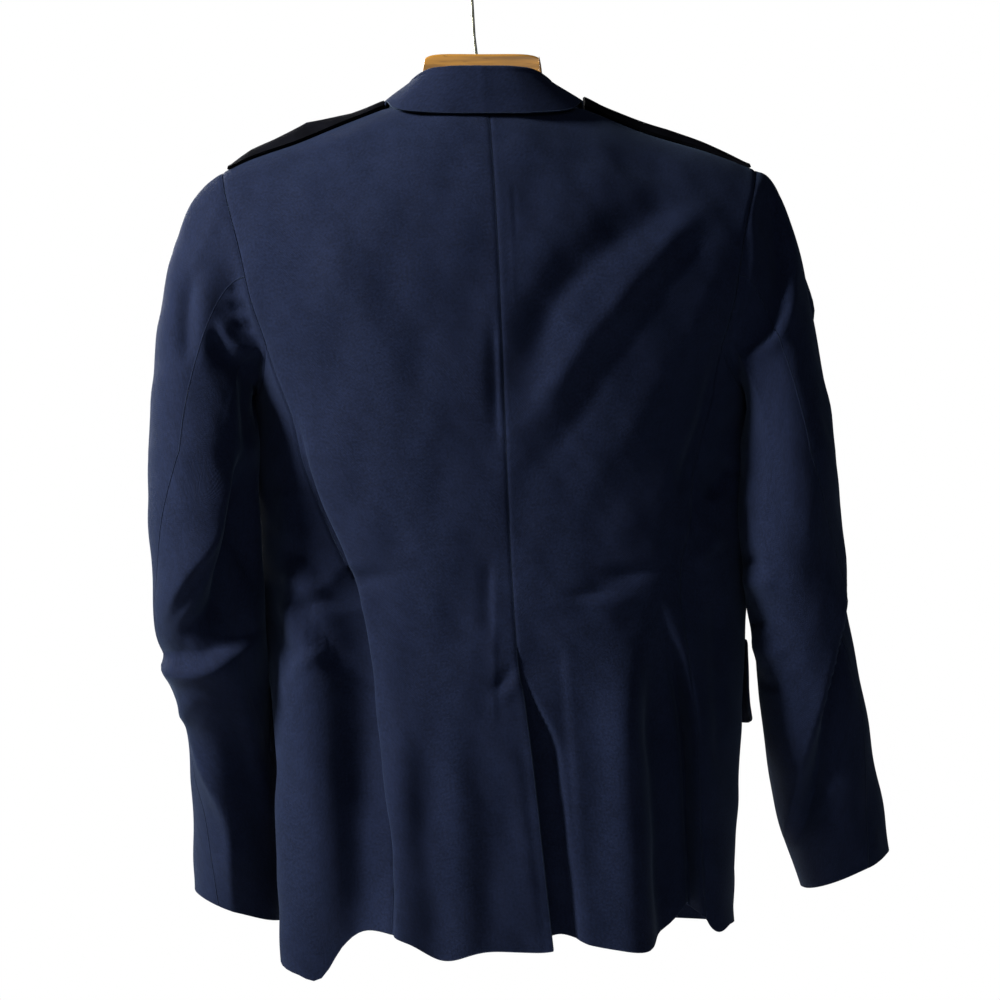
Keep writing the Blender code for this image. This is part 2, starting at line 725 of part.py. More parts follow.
def build_sleeve(side, materials, parts):
    """Two-piece sleeve: the under piece runs from the back seam to the front seam, the upper round the rest."""
    points, normals = sleeve_grid(side)
    spans = {
        "under": list(range(BACK_SEAM_AT, FRONT_SEAM_AT + 1)),
        "upper": list(range(FRONT_SEAM_AT, points.shape[1])) + list(range(BACK_SEAM_AT + 1)),
    }
    for part, columns in spans.items():
        piece = points[:, columns].copy()
        for edge, beside in ((0, 1), (-1, -2)):
            along = piece[:, beside] - piece[:, edge]
            piece[:, edge] += along / np.linalg.norm(along, axis=-1, keepdims=True) * SEAM_GAP / 2
        name = f"sleeve_{part}_{side_name(side)}"
        add_wall(name, piece, normals[:, columns], materials["navy_wool"], parts, side)


def seam_station(side, at):
    """Where the collar is sewn on: 0 at the centre back, 1 at the neck point, 2 at its front end."""
    centre_top = float(sections.read("centre", NECK_LEVEL))
    if at <= 1:
        x = centre_top + (neck_point(side) - centre_top) * at
        z = float(neckline(np.array(x)))
        turn = turn_at(side, abs(x - float(sections.read("centre", z / MM))), z)
    else:
        z = ridge_at(neck_point(side)) - GORGE_DROP * (at - 1)
        turn = roll_turn(side, z)
    return body_point(turn, z) + np.array([0, 0, 3 * TRIM_GAP if at <= 1 else 0])


def collar_profile(side, at):
    """Section of the collar: up the stand, over the fold and down the fall."""
    row = {name: float(collar_table.read(name, at)) for name in COLLAR_COLUMNS[1:]}
    seam = seam_station(side, at) - np.array([side * min(at, 1) * STAND_INSET, 0, 0])
    roll = np.array([ROLL_CENTRE + side * row["roll_out"], row["roll_y"], row["roll_z"]])
    fall = np.array([NECK_CENTRE + side * row["fall_out"], row["fall_y"], row["fall_z"]])
    off = fall - roll
    off[2] = 0
    off /= np.linalg.norm(off)
    middle = roll - np.array([0, 0, COLLAR_FOLD])
    up = np.array([0, 0, 1.0])
    inner, outer = middle - off * COLLAR_FOLD, middle + off * COLLAR_FOLD
    points = [seam, seam + (inner - seam) * 0.5, inner]
    for angle in (135, 90, 45):
        turned = math.radians(angle)
        points.append(middle + (off * math.cos(turned) + up * math.sin(turned)) * COLLAR_FOLD)
    points += [outer, outer + (fall - outer) * 0.4, outer + (fall - outer) * 0.75, fall]
    return points


def build_collar(materials, parts):
    ats = np.linspace(0, 2, COLLAR_ROWS + 1)
    left = [collar_profile(1, at) for at in ats]
    right = [collar_profile(-1, at) for at in ats]
    points = np.array(left[::-1] + right[1:])
    return add_wall("collar", points, grid_normals(points), materials["navy_wool"], parts)


def build_lapel(side, materials, parts):
    """Turned back from the roll, lying on the front panel."""
    rows = np.linspace(0, 1, LAPEL_ROWS + 1)[:, None]
    columns = np.linspace(0, 1, LAPEL_COLUMNS + 1)[None, :]
    foot = BREAK_HEIGHT + (LAPEL_FOOT if side > 0 else LAPEL_FOOT_UNDER)
    top = LAPEL_TOP + (LAPEL_POINT - LAPEL_TOP) * columns
    z = foot + (top - foot) * rows
    width = LAPEL_WIDTH * (0.05 + 0.95 * rows**0.85) * columns
    turn = roll_turn(side, z) - side * (width + LAPEL_INSET) / half_width(side, z)
    out = CLOTH + TRIM_GAP + (1.6 * (1 - columns) ** 3 + 0.8 * columns**3) * MM + 0 * z
    points, normals = body_point(turn, z, out), crossing(folded_point, turn, z)
    return add_wall(f"lapel_{side_name(side)}", points, normals, materials["navy_wool"], parts, -side)


def build_flap(flap, materials, parts):
    """Hip pocket flap, sewn along its top and standing off at its foot."""
    side = flap["side"]
    rows = np.linspace(0, 1, FLAP_ROWS + 1)[:, None]
    columns = np.linspace(0, 1, FLAP_COLUMNS_ACROSS + 1)[None, :]
    corner = np.abs(columns * 2 - 1) ** 6 * FLAP_CORNER
    z = flap["top_z"] * MM - (flap["drop"] * MM - corner) * (1 - rows)
    degrees = flap["back_turn"] + (flap["front_turn"] - flap["back_turn"]) * columns
    turn = side * np.radians(degrees) + 0 * z
    out = CLOTH + FLAP_GAP + flap["lift"] * MM * (1 - rows) ** 1.3 + 0 * z
    points, normals = body_point(turn, z, out), crossing(folded_point, turn, z)
    return add_wall(f"pocket_flap_{side_name(side)}", points, normals, materials["navy_wool"], parts, side)


def shoulder_drop(x, y):
    """How far the shoulder has fallen away from its top line, at y in front of or behind it."""
    z = ridge(x)
    front = y < 0
    square = np.where(front, ROUND_FRONT, ROUND_BACK)
    offset = np.abs(x - sections.read("centre", z / MM))
    half = np.where(x > 0, sections.read("left", z / MM), sections.read("right", z / MM))
    depth = np.where(front, sections.read("front", z / MM), sections.read("back", z / MM))
    share = np.clip(1 - (offset / half) ** square, 0, 1) ** (1 / square)
    rolled = np.clip(np.abs(y) / (depth * share), 0, 1) ** (1 / ROLL_POWER)
    return SHOULDER_ROLL * (1 - np.sqrt(1 - rolled))


def build_strap(side, materials, parts):
    """Shoulder strap from armhole seam to collar. Its edges rest on the shoulder, its middle arches."""
    start, end = tip_of(side) - side * STRAP_TIP_INSET, neck_point(side) + side * STRAP_NECK_INSET
    share = np.linspace(0, 1, STRAP_ROWS + 1)[:, None]
    across = np.linspace(0, 1, STRAP_COLUMNS_ACROSS + 1)[None, :]
    x = start + (end - start) * share + 0 * across
    narrow = 1 - STRAP_POINT * np.clip((share - 0.85) / 0.15, 0, 1) ** 2
    y = STRAP_BACK_EDGE - STRAP_WIDTH / 2 + STRAP_WIDTH * (0.5 - across) * narrow
    rest = ridge(x) - np.minimum(shoulder_drop(x, y), STRAP_MOST_DROP)
    edge = rest[:, :1] + (rest[:, -1:] - rest[:, :1]) * across
    arch = named(STRAP_COLUMNS, STRAP_LEFT if side > 0 else STRAP_RIGHT)
    height = np.interp(share, [row["from_tip"] for row in arch], [row["arch"] for row in arch]) * MM
    bow = 4 * across * (1 - across)
    arched = edge + (height + (rest[:, :1] - rest[:, -1:]) / 2) * bow
    z = np.maximum(rest, arched) + STRAP_THICK + STRAP_GAP
    points = np.stack([x, y + 0 * z, z], axis=-1)
    normals = grid_normals(points)
    normals *= np.sign(normals[..., 2:3])
    name = f"shoulder_strap_{side_name(side)}"
    return add_wall(name, points, normals, materials["strap_wool"], parts, side, STRAP_THICK)


def add_button(name, centre, facing, materials, parts):
    """A plain turned button, narrower at its face."""
    shell = bmesh.new()
    face = BUTTON_RADIUS * BUTTON_FACE
    bmesh.ops.create_cone(
        shell, cap_ends=True, segments=20, radius1=BUTTON_RADIUS, radius2=face, depth=BUTTON_THICK
    )
    mesh = bpy.data.meshes.new(name)
    shell.to_mesh(mesh)
    shell.free()
    mesh.materials.append(materials["dark_button"])
    piece = bpy.data.objects.new(name, mesh)
    piece.location = centre
    piece.rotation_euler = Vector(facing).to_track_quat("Z", "Y").to_euler()
    parts.objects.link(piece)
    return piece


def build_buttons(materials, parts):
    for number in range(BUTTON_COUNT):
        z = BREAK_HEIGHT - BUTTON_START - number * BUTTON_STEP
        turn = math.pi
        normal = crossing(folded_point, np.array(turn), np.array(z))
        dip = BREAK_DIP if number == 0 else 0.0
        centre = body_point(turn, z, BUTTON_THICK / 2 + 1.2 * TRIM_GAP - dip)
        add_button(f"front_button_{number + 1}", tuple(centre), tuple(normal), materials, parts)


def build_hanger(materials, parts):
    """Wooden hanger, lofted across from rounded upright sections."""
    mesh = bpy.data.meshes.new("hanger")
    points, faces = [], []
    for row in named(HANGER_COLUMNS, HANGER):
        middle, half = (row["top"] + row["bottom"]) / 2, (row["top"] - row["bottom"]) / 2
        for corner in range(HANGER_SIDES):
            angle = 2 * math.pi * corner / HANGER_SIDES
            wide, high = math.cos(angle), math.sin(angle)
            y = row["thick"] * math.copysign(abs(wide) ** 0.8, wide)
            z = middle + half * math.copysign(abs(high) ** 0.9, high)
            points.append((row["x"] * MM, y * MM, z * MM))
    for row in range(len(HANGER) - 1):
        for corner in range(HANGER_SIDES):
            first, second = row * HANGER_SIDES + corner, row * HANGER_SIDES + (corner + 1) % HANGER_SIDES
            faces.append((first, second, second + HANGER_SIDES, first + HANGER_SIDES))
    faces.append(tuple(range(HANGER_SIDES))[::-1])
    faces.append(tuple(range(len(points) - HANGER_SIDES, len(points))))
    mesh.from_pydata(points, [], faces)
    mesh.materials.append(materials["varnished_wood"])
    mesh.shade_smooth()
    piece = bpy.data.objects.new("hanger", mesh)
    parts.objects.link(piece)
    return piece


def build_hook(materials, parts):
    """Steel hook: a shank out of the wood and a bend over the origin, open to one side."""
    curve = bpy.data.curves.new("hanger_hook", "CURVE")
    curve.dimensions = "3D"
    curve.bevel_depth = HOOK_WIRE
    curve.bevel_resolution = 2
    curve.use_fill_caps = True
    middle_z = HOOK_WIRE - HOOK_BEND
    foot = WOOD_TOP + TRIM_GAP - HANGER_SADDLE
    shank_top = middle_z - HOOK_BEND * 1.15
    route = [(0, foot), (HOOK_LEAN / 2, foot + 16 * MM), (HOOK_LEAN, shank_top)]
    for step in range(1, 5):
        share = step / 4
        across = HOOK_LEAN + (HOOK_BEND - HOOK_LEAN) * ease(share)
        route.append((across, shank_top + (middle_z - shank_top) * share))
    for step in range(1, HOOK_STEPS + 1):
        angle = math.radians(HOOK_TURN * step / HOOK_STEPS)
        route.append((HOOK_BEND * math.cos(angle), middle_z + HOOK_BEND * math.sin(angle)))
    spline = curve.splines.new("POLY")
    spline.points.add(len(route) - 1)
    for point, (x, z) in zip(spline.points, route):
        point.co = (x, 0, z, 1)
    curve.materials.append(materials["steel"])
    piece = bpy.data.objects.new("hanger_hook", curve)
    parts.objects.link(piece)
    return piece


def main():
    clear_scene()
    materials = make_materials()
    parts = bpy.data.collections.new("military_dress_jacket")
    bpy.context.scene.collection.children.link(parts)
    for side in (1, -1):
        build_back(side, materials, parts)
        build_side(side, materials, parts)
        build_front(side, materials, parts)
        build_sleeve(side, materials, parts)
        build_lapel(side, materials, parts)
        build_strap(side, materials, parts)
    for flap in named(FLAP_COLUMNS, FLAPS):
        build_flap(flap, materials, parts)
    build_collar(materials, parts)
    build_buttons(materials, parts)
    build_hanger(materials, parts)
    build_hook(materials, parts)


main()
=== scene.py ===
"""Military dress jacket on a wooden hanger: cloth, seams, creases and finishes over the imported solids.

Metres, +Z up, origin at the seat of the hook. The jacket's front faces -Y, its back faces +Y and the wearer's
left side is at +X. Tables are in millimetres. The body is one smooth tube: turn is 0 at the centre back,
+pi/2 at the wearer's left side, -pi/2 at the right side and pi at the centre front. Each panel is a stretch
of it.
"""

import math

import bpy
import numpy as np
from bpy.props import FloatProperty, FloatVectorProperty, IntProperty, PointerProperty
from bpy.types import Operator, Panel, PropertyGroup
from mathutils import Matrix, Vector


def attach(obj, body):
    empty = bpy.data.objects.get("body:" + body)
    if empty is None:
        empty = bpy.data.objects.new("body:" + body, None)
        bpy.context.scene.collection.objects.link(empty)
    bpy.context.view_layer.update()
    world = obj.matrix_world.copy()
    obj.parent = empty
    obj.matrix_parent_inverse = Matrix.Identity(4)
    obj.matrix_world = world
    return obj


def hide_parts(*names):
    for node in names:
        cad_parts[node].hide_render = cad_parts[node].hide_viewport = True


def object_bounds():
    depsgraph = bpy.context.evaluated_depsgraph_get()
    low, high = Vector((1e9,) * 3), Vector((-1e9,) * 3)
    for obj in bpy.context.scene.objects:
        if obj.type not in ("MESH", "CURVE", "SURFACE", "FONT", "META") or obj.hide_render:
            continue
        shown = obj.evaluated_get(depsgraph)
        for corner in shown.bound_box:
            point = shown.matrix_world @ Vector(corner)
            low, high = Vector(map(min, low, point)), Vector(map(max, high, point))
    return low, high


bl_info = {
    "name": "Military Dress Jacket",
    "version": (1, 0, 0),
    "blender": (4, 5, 0),
    "location": "View3D > Sidebar > Jacket",
    "description": "Builds a military dress jacket hanging on a wooden hanger",
    "category": "Add Mesh",
}

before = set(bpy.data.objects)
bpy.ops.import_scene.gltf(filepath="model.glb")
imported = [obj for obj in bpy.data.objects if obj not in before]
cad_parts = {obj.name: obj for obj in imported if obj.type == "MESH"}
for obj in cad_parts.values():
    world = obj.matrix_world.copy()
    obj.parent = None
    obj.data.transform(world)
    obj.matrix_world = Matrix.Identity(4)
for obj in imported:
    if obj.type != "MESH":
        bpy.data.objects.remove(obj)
CAD_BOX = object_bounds()

MM = 0.001
TINY = 1e-12  # keeps a division from 0

# ---- The garment's sizes ----
# They are the solids' own, but for the vent's lap, the body's half widths from the armhole to the hip, the
# left forearm, the hook's steps, and two drag folds that are creases here.

CLOTH = 1.6 * MM  # wall of the wool and its backing
SEAM_GAP = 0.5 * MM
ARMHOLE_GAP = 0.5 * MM
TRIM_GAP = 0.4 * MM
ROUND_BACK = 2.3
ROUND_FRONT = 2.0
SHOULDER_ROLL = 180 * MM
ROLL_POWER = 0.6

NECK_CENTRE = -7.3 * MM
NECK_HALF = 87.3 * MM
NECK_DROP = 9 * MM
ARMHOLE_FOOT = -352 * MM
UNDERARM = -398 * MM
FRONT_SEAM_SHARE = 0.90
BREAK_HEIGHT = -352 * MM
OVERLAP = 20 * MM
VENT_TOP = -634 * MM
VENT_START = 22 * MM
VENT_LAP = 16 * MM
VENT_TUCK = 12 * MM
VENT_SPREAD = 63 * MM  # the lap dies out this far from the centre
BUTTON_STEP = 92 * MM
BUTTON_COUNT = 4
BUTTON_RADIUS = 10 * MM
BUTTON_THICK = 3.2 * MM
BREAK_DIP = 0.9 * MM
STRAP_WIDTH = 40 * MM
STRAP_THICK = 2.6 * MM
STRAP_GAP = 1.3 * MM
STRAP_BACK_EDGE = 7 * MM
STRAP_MOST_DROP = 15 * MM
STRAP_TIP_INSET = 5 * MM
STRAP_NECK_INSET = 4.5 * MM
STRAP_POINT = 0.35
HOOK_WIRE = 1.7 * MM
HOOK_BEND = 16 * MM
HOOK_TURN = 200
HOOK_STEPS = 24
HOOK_LEAN = 4 * MM
WOOD_TOP = -82 * MM
HANGER_SADDLE = 0.8 * MM

# How the surface of the body runs
SHOULDER_SPLIT = 8  # how quickly, round the side, the back half's offset turns into the front half's
RIDGE_REACH = 4 * MM  # normals turn upright this near the shoulder line
FOLD_FACING = 3  # folds die out where the back turns to the side
ARMHOLE_CURVE = 1.4
UNDERARM_CURVE = 2.4
NECK_CURVE = 0.7
NECK_BACK = -144.0  # in millimetres, where the neck's middle is read from the body's centre line
ROLL_CURVE = 1.1
ARMHOLE_STEP = 1.7  # rows crowd towards the shoulder by this power
TUCK_TURN = 0.34  # the right front lies inside the left one from here to the centre
TUCK_TURN_FADE = 0.16
TUCK_TOP = -240 * MM
TUCK_FADE = 60 * MM

# The finish of each slot of cloth
CLOTH_FINISHES = {"navy_wool": "jacket_wool", "strap_wool": "jacket_strap_cloth"}

# Creases and seams
CREASE_FADE = 0.3  # share of its length over which a crease rises at either end
CREASE_CUT = 6  # a crease is left out beyond where it has shrunk to exp(-6)
CREASE_FACING = 4  # how quickly the back's creases give way to the front's, round the side
CREASE_BLEND = 0.2  # how much of both there is at the side itself
SHOULDER_CALM = 25 * MM  # the shoulder line itself stays smooth
FRONT_WAVE = 1.7  # phase of the unevenness in front
WAVE_COLUMNS = ("across", "down", "phase", "height")
WAVES = (  # a slow unevenness of the cloth
    (83, 131, 0.4, 0.45),
    (57, -97, 2.1, 0.30),
    (-141, 63, 4.0, 0.40),
    (37, 211, 1.2, 0.18),
    (29, -41, 5.1, 0.12),
)
SEAM_REACH = 1.8 * MM
SEAM_CURVE = 1.5
EDGE_HOLD = 0.7 * MM  # a line of points this far inside each edge keeps it sharp
EDGE_HOLD_MOST = 0.4  # of a cell
EDGE_ROUND = 0.45  # of the wall, how far the middle of a cut edge stands out
MOST_AREA = 0.999  # of width times length

# The vent: the left back's lip stands out, and the right back sinks under it, deepest inside the dark wedge
VENT_LAP_TOP = 0.1  # share of the lap at the vent's top
VENT_CURVE = 1.5
LIP_OUT = 1.6 * MM  # how far the left edge curls out
LIP_WIDTH = 10 * MM
LIP_TOP = VENT_TOP - 20 * MM
LIP_FADE = 60 * MM
WEDGE_EDGE = 3 * MM  # the wedge's side rises from this far outside its line
WEDGE_EDGE_FADE = 5 * MM
WEDGE_PAST = -2 * MM  # to the left of this, the right back is always deep
WEDGE_DEPTH = 8 * MM
WEDGE_FADE = 50 * MM
WEDGE_CLEAR = 0.9 * MM  # under the left back's wall and the trims' gap
BESIDE_CLEAR = 0.6 * MM  # the same, beside the wedge, where it is shallow
BESIDE_WIDTH = 44 * MM
BESIDE_FADE = 8 * MM

# About how far the pieces run, for the number of their cells
BACK_WIDTH = 235 * MM
SIDE_WIDTH = 150 * MM
FRONT_WIDTH = 250 * MM
SKIRT_LENGTH = 530 * MM
ARMHOLE_LENGTH = 200 * MM
SLEEVE_LENGTH = 420 * MM
HEM_ROUNDS = 4  # rounds that settle a point on the hem

# Sleeves
CAP_STEPS = 40
CAP_RISE = (0, 0.2, 0.45, 0.7)  # where the first rings stand, as shares of CAP_FLAT
CAP_CROWD = 1.15
ARM_FINE = 6  # places on the armhole for each one that the solids have
UPPER_ROWS = 8
SIDE_COLUMNS = 6
BACK_SEAM_AT = UPPER_ROWS - 2
FRONT_SEAM_AT = UPPER_ROWS + SIDE_COLUMNS + 1
SLEEVE_FACING = 2.2  # as CREASE_FACING and CREASE_BLEND, for a sleeve
SLEEVE_BLEND = 0.35
SLEEVE_WAVE = 0.6  # phase of the unevenness, + on the left sleeve and - on the right one
BODY_CARRY = 26 * MM  # the body's creases run on into the sleeve head this far
SLEEVE_START = 12 * MM  # the sleeve's own creases rise over this length

# Collar, lapels, flaps and straps. A grid is its cells down and across, and how much they crowd to the edges.
COLLAR_STATIONS = 70
COLLAR_STAND_STEPS = 9
COLLAR_FOLD_STEPS = 11
COLLAR_FALL_STEPS = 18
COLLAR_FOLD_FROM, COLLAR_FOLD_TO = 168, 12  # degrees
COLLAR_BELLY = 0.8 * MM
LAPEL_GRID = (70, 26, 0.5, 0.6)
LAPEL_FOOT_WIDTH = 0.05
LAPEL_CURVE = 0.85
LAPEL_ROLL = 1.6 * MM
LAPEL_EDGE = 0.8 * MM
FLAP_GRID = (24, 64, 0.4, 0.5)
FLAP_SEAMS = {"last_row": 0.8}
FLAP_SQUARE = 6
FLAP_CURVE = 1.3
STRAP_GRID = (60, 24, 0.5, 0.6)
STRAP_POINT_FROM = 0.85

# The wool: noises with their cycles in a metre, and how they share in its height and in its shade
NOISE_COLUMNS = ("name", "scale", "detail", "roughness")
WOOL_NOISES = (
    ("fibre", 1500.0, 2.0, 0.6),
    ("speck", 820.0, 2.0, 0.6),
    ("grain", 430.0, 2.0, 0.7),
    ("mottle", 70.0, 3.0, 0.6),
    ("broad", 9.0, 2.0, 0.5),
)
WOOL_HEIGHT = {"wale": 0.22, "weft": 0.12, "fibre": 0.9, "grain": 1.1, "mottle": 0.8}
WOOL_SHADE = {"grain": 0.62, "mottle": 0.25, "broad": 0.13}
WOOL_DEEP, WOOL_PALE = 0.72, 1.30
WEAVE_DEPTH = 0.22 * MM
WALE_ALONG, WALE_ACROSS = 0.8, 0.6  # the wale's slant
WEFT_PITCH = 1.37
FLECK_GREY = 0.05

# Hard pieces
HANGER_ROUND = 4.5 * MM
HOOK_SHANK = 1.15  # of the bend's radius, from the shank's top to the bend's middle
HOOK_SHANK_STEPS = 9
HOOK_KNEE = 16 * MM  # above the wire's foot, where it has half its lean
FIRST_BUTTON = 12 * MM  # below the break
BUTTON_COLUMNS = ("inset", "rise")
BUTTON_RINGS = (
    (0.5, 0.2),
    (0.9, 0.0),
    (0.5, -0.9),
    (1.2, 0.35),
    (1.6, 0.35),
    (1.8, 0.25),
    (1.6, 0.1),
)
BUTTON_EDGE = 0.5 * MM
BUTTON_GAP = 1.2 * TRIM_GAP
HOLE_HALF = 8 * MM
HOLE_SHIFT = -6 * MM  # towards the front's edge
HOLE_RADIUS = 1.5 * MM
HOLE_THREAD = 0.5 * MM
HOLE_FLAT = 0.7
HOLE_DEEP = 0.4 * MM  # behind the button

# The stage
CAMERA_SPAN = 0.91  # width of the view at the hook's plane, in metres
CAMERA_X = -0.0218
CAMERA_Z = -0.4879
SENSOR = 36.0
STAGE_MIDDLE = (-0.03, 0.0, -0.48)
FLOOR_RADIUS = 4.5
FLOOR_COLOUR = (0.86, 0.86, 0.86, 1.0)
ROOM_COLOUR = (0.95, 0.97, 1.0, 1.0)
FRONT_SHARE = 0.5  # of the key light's power
LIGHT_COLUMNS = ("name", "place", "size", "colour")
LIGHTS = (
    ("key_light", (1.85, 0.66, 0.5), 0.5, (1.0, 0.985, 0.96)),
    ("fill_light", (-0.8, 2.3, 0.5), 1.5, (0.93, 0.96, 1.0)),
    ("front_light", (1.5, -1.9, 0.8), 1.2, (1.0, 0.99, 0.97)),
)

SECTION_COLUMNS = ("z", "centre", "left", "right", "back", "front", "lean", "seam_left", "seam_right")
SECTIONS = (
    (-100, -9.0, 335, 330, 82, 84, 0, 243, 243),
    (-190, -15.5, 306, 300, 84, 88, 0, 246, 238),
    (-250, -19.0, 284, 276, 86, 92, 0, 234, 221),
    (-318, -22.2, 250, 243, 86, 94, 4, 220, 207),
    (-352, -23.6, 237, 230, 84, 94, 10, 211, 198),
    (-400, -25.4, 229, 226, 80, 88, 22, 195, 189),
    (-460, -27.8, 237, 229, 75, 80, 36, 185, 172),
    (-507, -29.8, 235, 226, 73, 76, 40, 171, 163),
    (-545, -31.5, 235, 223, 73, 75, 40, 154, 152),
    (-580, -33.7, 235, 217, 76, 77, 38, 139, 149),
    (-640, -38.3, 231, 208, 82, 84, 30, 137, 153),
    (-730, -45.3, 226, 196, 86, 90, 16, 136, 151),
    (-800, -50.0, 231, 186, 87, 92, 8, 133, 149),
    (-900, -57.0, 233, 178, 88, 92, 4, 131, 148),
)

RIDGE_COLUMNS = ("x", "z")
RIDGE = (
    (-300, -205.0),
    (-253.9, -187.6),
    (-215, -173.0),
    (-155, -155.0),
    (-94.6, -131.2),
    (-50, -118.0),
    (-7.3, -112.0),
    (40, -118.0),
    (80.0, -131.2),
    (119, -146.0),
    (158, -162.0),
    (217.5, -183.5),
    (230.3, -190.0),
    (280, -212.0),
)
TIP_LEFT = 230.3 * MM
TIP_RIGHT = -253.9 * MM

HEM_COLUMNS = ("turn", "z")
HEM = (
    (-180, -884),
    (-135, -880),
    (-100, -874),
    (-72, -867),
    (-58, -867),
    (-52, -850),
    (-47, -848),
    (-42, -866),
    (-36, -878),
    (-22, -879),
    (-15, -875),
    (-8, -867),
    (0, -880),
    (12, -881),
    (22, -888),
    (29, -874),
    (36, -868),
    (44, -870),
    (50, -884),
    (57, -912),
    (66, -909),
    (76, -903),
    (100, -886),
    (135, -884),
    (180, -884),
)

FOLD_END = 0.3
OPEN_FOOT = -900
FOLD_COLUMNS = ("top_at", "top_z", "foot_at", "foot_z", "reach", "height")
FOLDS = (
    (214, -600, 222, -900, 22, 8),
    (146, -560, 168, -900, 26, -13),
    (108, -640, 118, -900, 18, 6),
    (62, -660, 68, -900, 20, 5),
    (-92, -590, -82, -900, 24, 7),
    (-120, -600, -118, -900, 14, -14),
    (-160, -620, -160, -900, 18, 5),
    (-120, -540, -60, -580, 14, -5),
    (-205, -400, -160, -520, 18, -6),
    (120, -545, 185, -590, 14, -5),
)

SLEEVE_COLUMNS = ("z", "x", "y", "across", "deep", "slope", "twist")
SLEEVE_LEFT = (
    (-445, 246, 13, 50, 57, 0.00, 8),
    (-500, 245, 15, 50, 53, 0.00, 30),
    (-560, 242, 11, 50, 51, 0.00, 50),
    (-620, 239.5, -2, 49.5, 51, 0.02, 66),
    (-660, 233, -20, 42.5, 51, 0.06, 62),
    (-700, 227, -38, 38, 52, 0.04, 50),
    (-750, 223.5, -53, 41.5, 52, 0.00, 36),
    (-805, 223, -62, 42, 52, 0.04, 22),
    (-865, 222, -66, 43, 50, 0.34, 10),
)
SLEEVE_RIGHT = (
    (-445, -282, 9, 43, 57, -0.05, 8),
    (-500, -284, 8, 46, 56, -0.08, 26),
    (-560, -289, 0, 45, 54, -0.14, 44),
    (-620, -300, -14, 45, 54, -0.18, 52),
    (-690, -312, -28, 47, 54, -0.18, 46),
    (-740, -321, -38, 48, 54, -0.20, 34),
    (-790, -332, -45, 46, 52, -0.30, 22),
    (-829, -343, -48, 41, 49, -0.44, 10),
)
CAP_FLAT = 4 * MM
CAP_COLUMNS = ("out_pull", "down_pull", "spread")
CAP_LEFT = (0.68, 0.75, 0.03)
CAP_RIGHT = (0.42, 0.75, -0.14)

COLLAR_COLUMNS = ("at", "roll_out", "roll_y", "roll_z", "fall_out", "fall_y", "fall_z")
COLLAR = (
    (0.0, 0, 38, -101.5, 0, 46.5, -144),
    (0.4, 30, 35, -101.5, 46, 43, -143),
    (0.75, 49, 24, -103, 79, 28, -137),
    (1.0, 61, 5, -108, 88, 9, -127),
    (1.3, 64, -20, -114, 90, -20, -137),
    (1.65, 61, -44, -135, 89, -47, -162),
    (2.0, 52, -64, -167, 80, -69, -196),
)
COLLAR_FOLD = 2.9 * MM
ROLL_CENTRE = -4.5 * MM
STAND_INSET = 1.2 * MM
GORGE_DROP = 58 * MM
LAPEL_WIDTH = 74 * MM
LAPEL_TOP = -198 * MM
LAPEL_POINT = -214 * MM
LAPEL_INSET = 2.5 * MM
LAPEL_FOOT = 6 * MM
LAPEL_FOOT_UNDER = 53 * MM

FLAP_COLUMNS = ("side", "back_turn", "front_turn", "top_z", "drop", "lift")
FLAPS = (
    (1, 91, 150, -642, 80, 6),
    (-1, 86, 150, -617, 76, 7),
)
FLAP_CORNER = 6 * MM
FLAP_GAP = 0.9 * MM

STRAP_COLUMNS = ("from_tip", "arch")
STRAP_LEFT = (
    (0.0, 1.5),
    (0.07, 5),
    (0.14, 8),
    (0.28, 10),
    (0.42, 13.5),
    (0.50, 15.5),
    (0.6, 12),
    (0.79, 6),
    (1.0, 5),
)
STRAP_RIGHT = (
    (0.0, 1.5),
    (0.12, 4),
    (0.30, 7),
    (0.50, 9),
    (0.72, 8.5),
    (0.9, 8),
    (1.0, 9),
)

HANGER_COLUMNS = ("x", "top", "bottom", "thick")
HANGER = (
    (-240, -189, -204, 5),
    (-225, -180.3, -206, 8),
    (-190, -169.0, -200, 8),
    (-140, -152.6, -190, 8),
    (-100, -139.0, -178, 7),
    (-76, -136, -170, 7),
    (-62, -119, -156, 7),
    (-60, -98, -148, 7),
    (-58, -86.5, -143, 7),
    (-47, -82.3, -140, 7),
    (-5, -83.4, -136, 7),
    (37, -82.3, -140, 7),
    (46.5, -86.5, -143, 7),
    (49, -98, -148, 7),
    (52, -119, -156, 7),
    (64, -136, -170, 7),
    (86, -139.5, -178, 7),
    (125, -152.5, -190, 8),
    (170, -170.0, -200, 8),
    (202, -181.6, -206, 8),
    (217, -191, -204, 5),
)
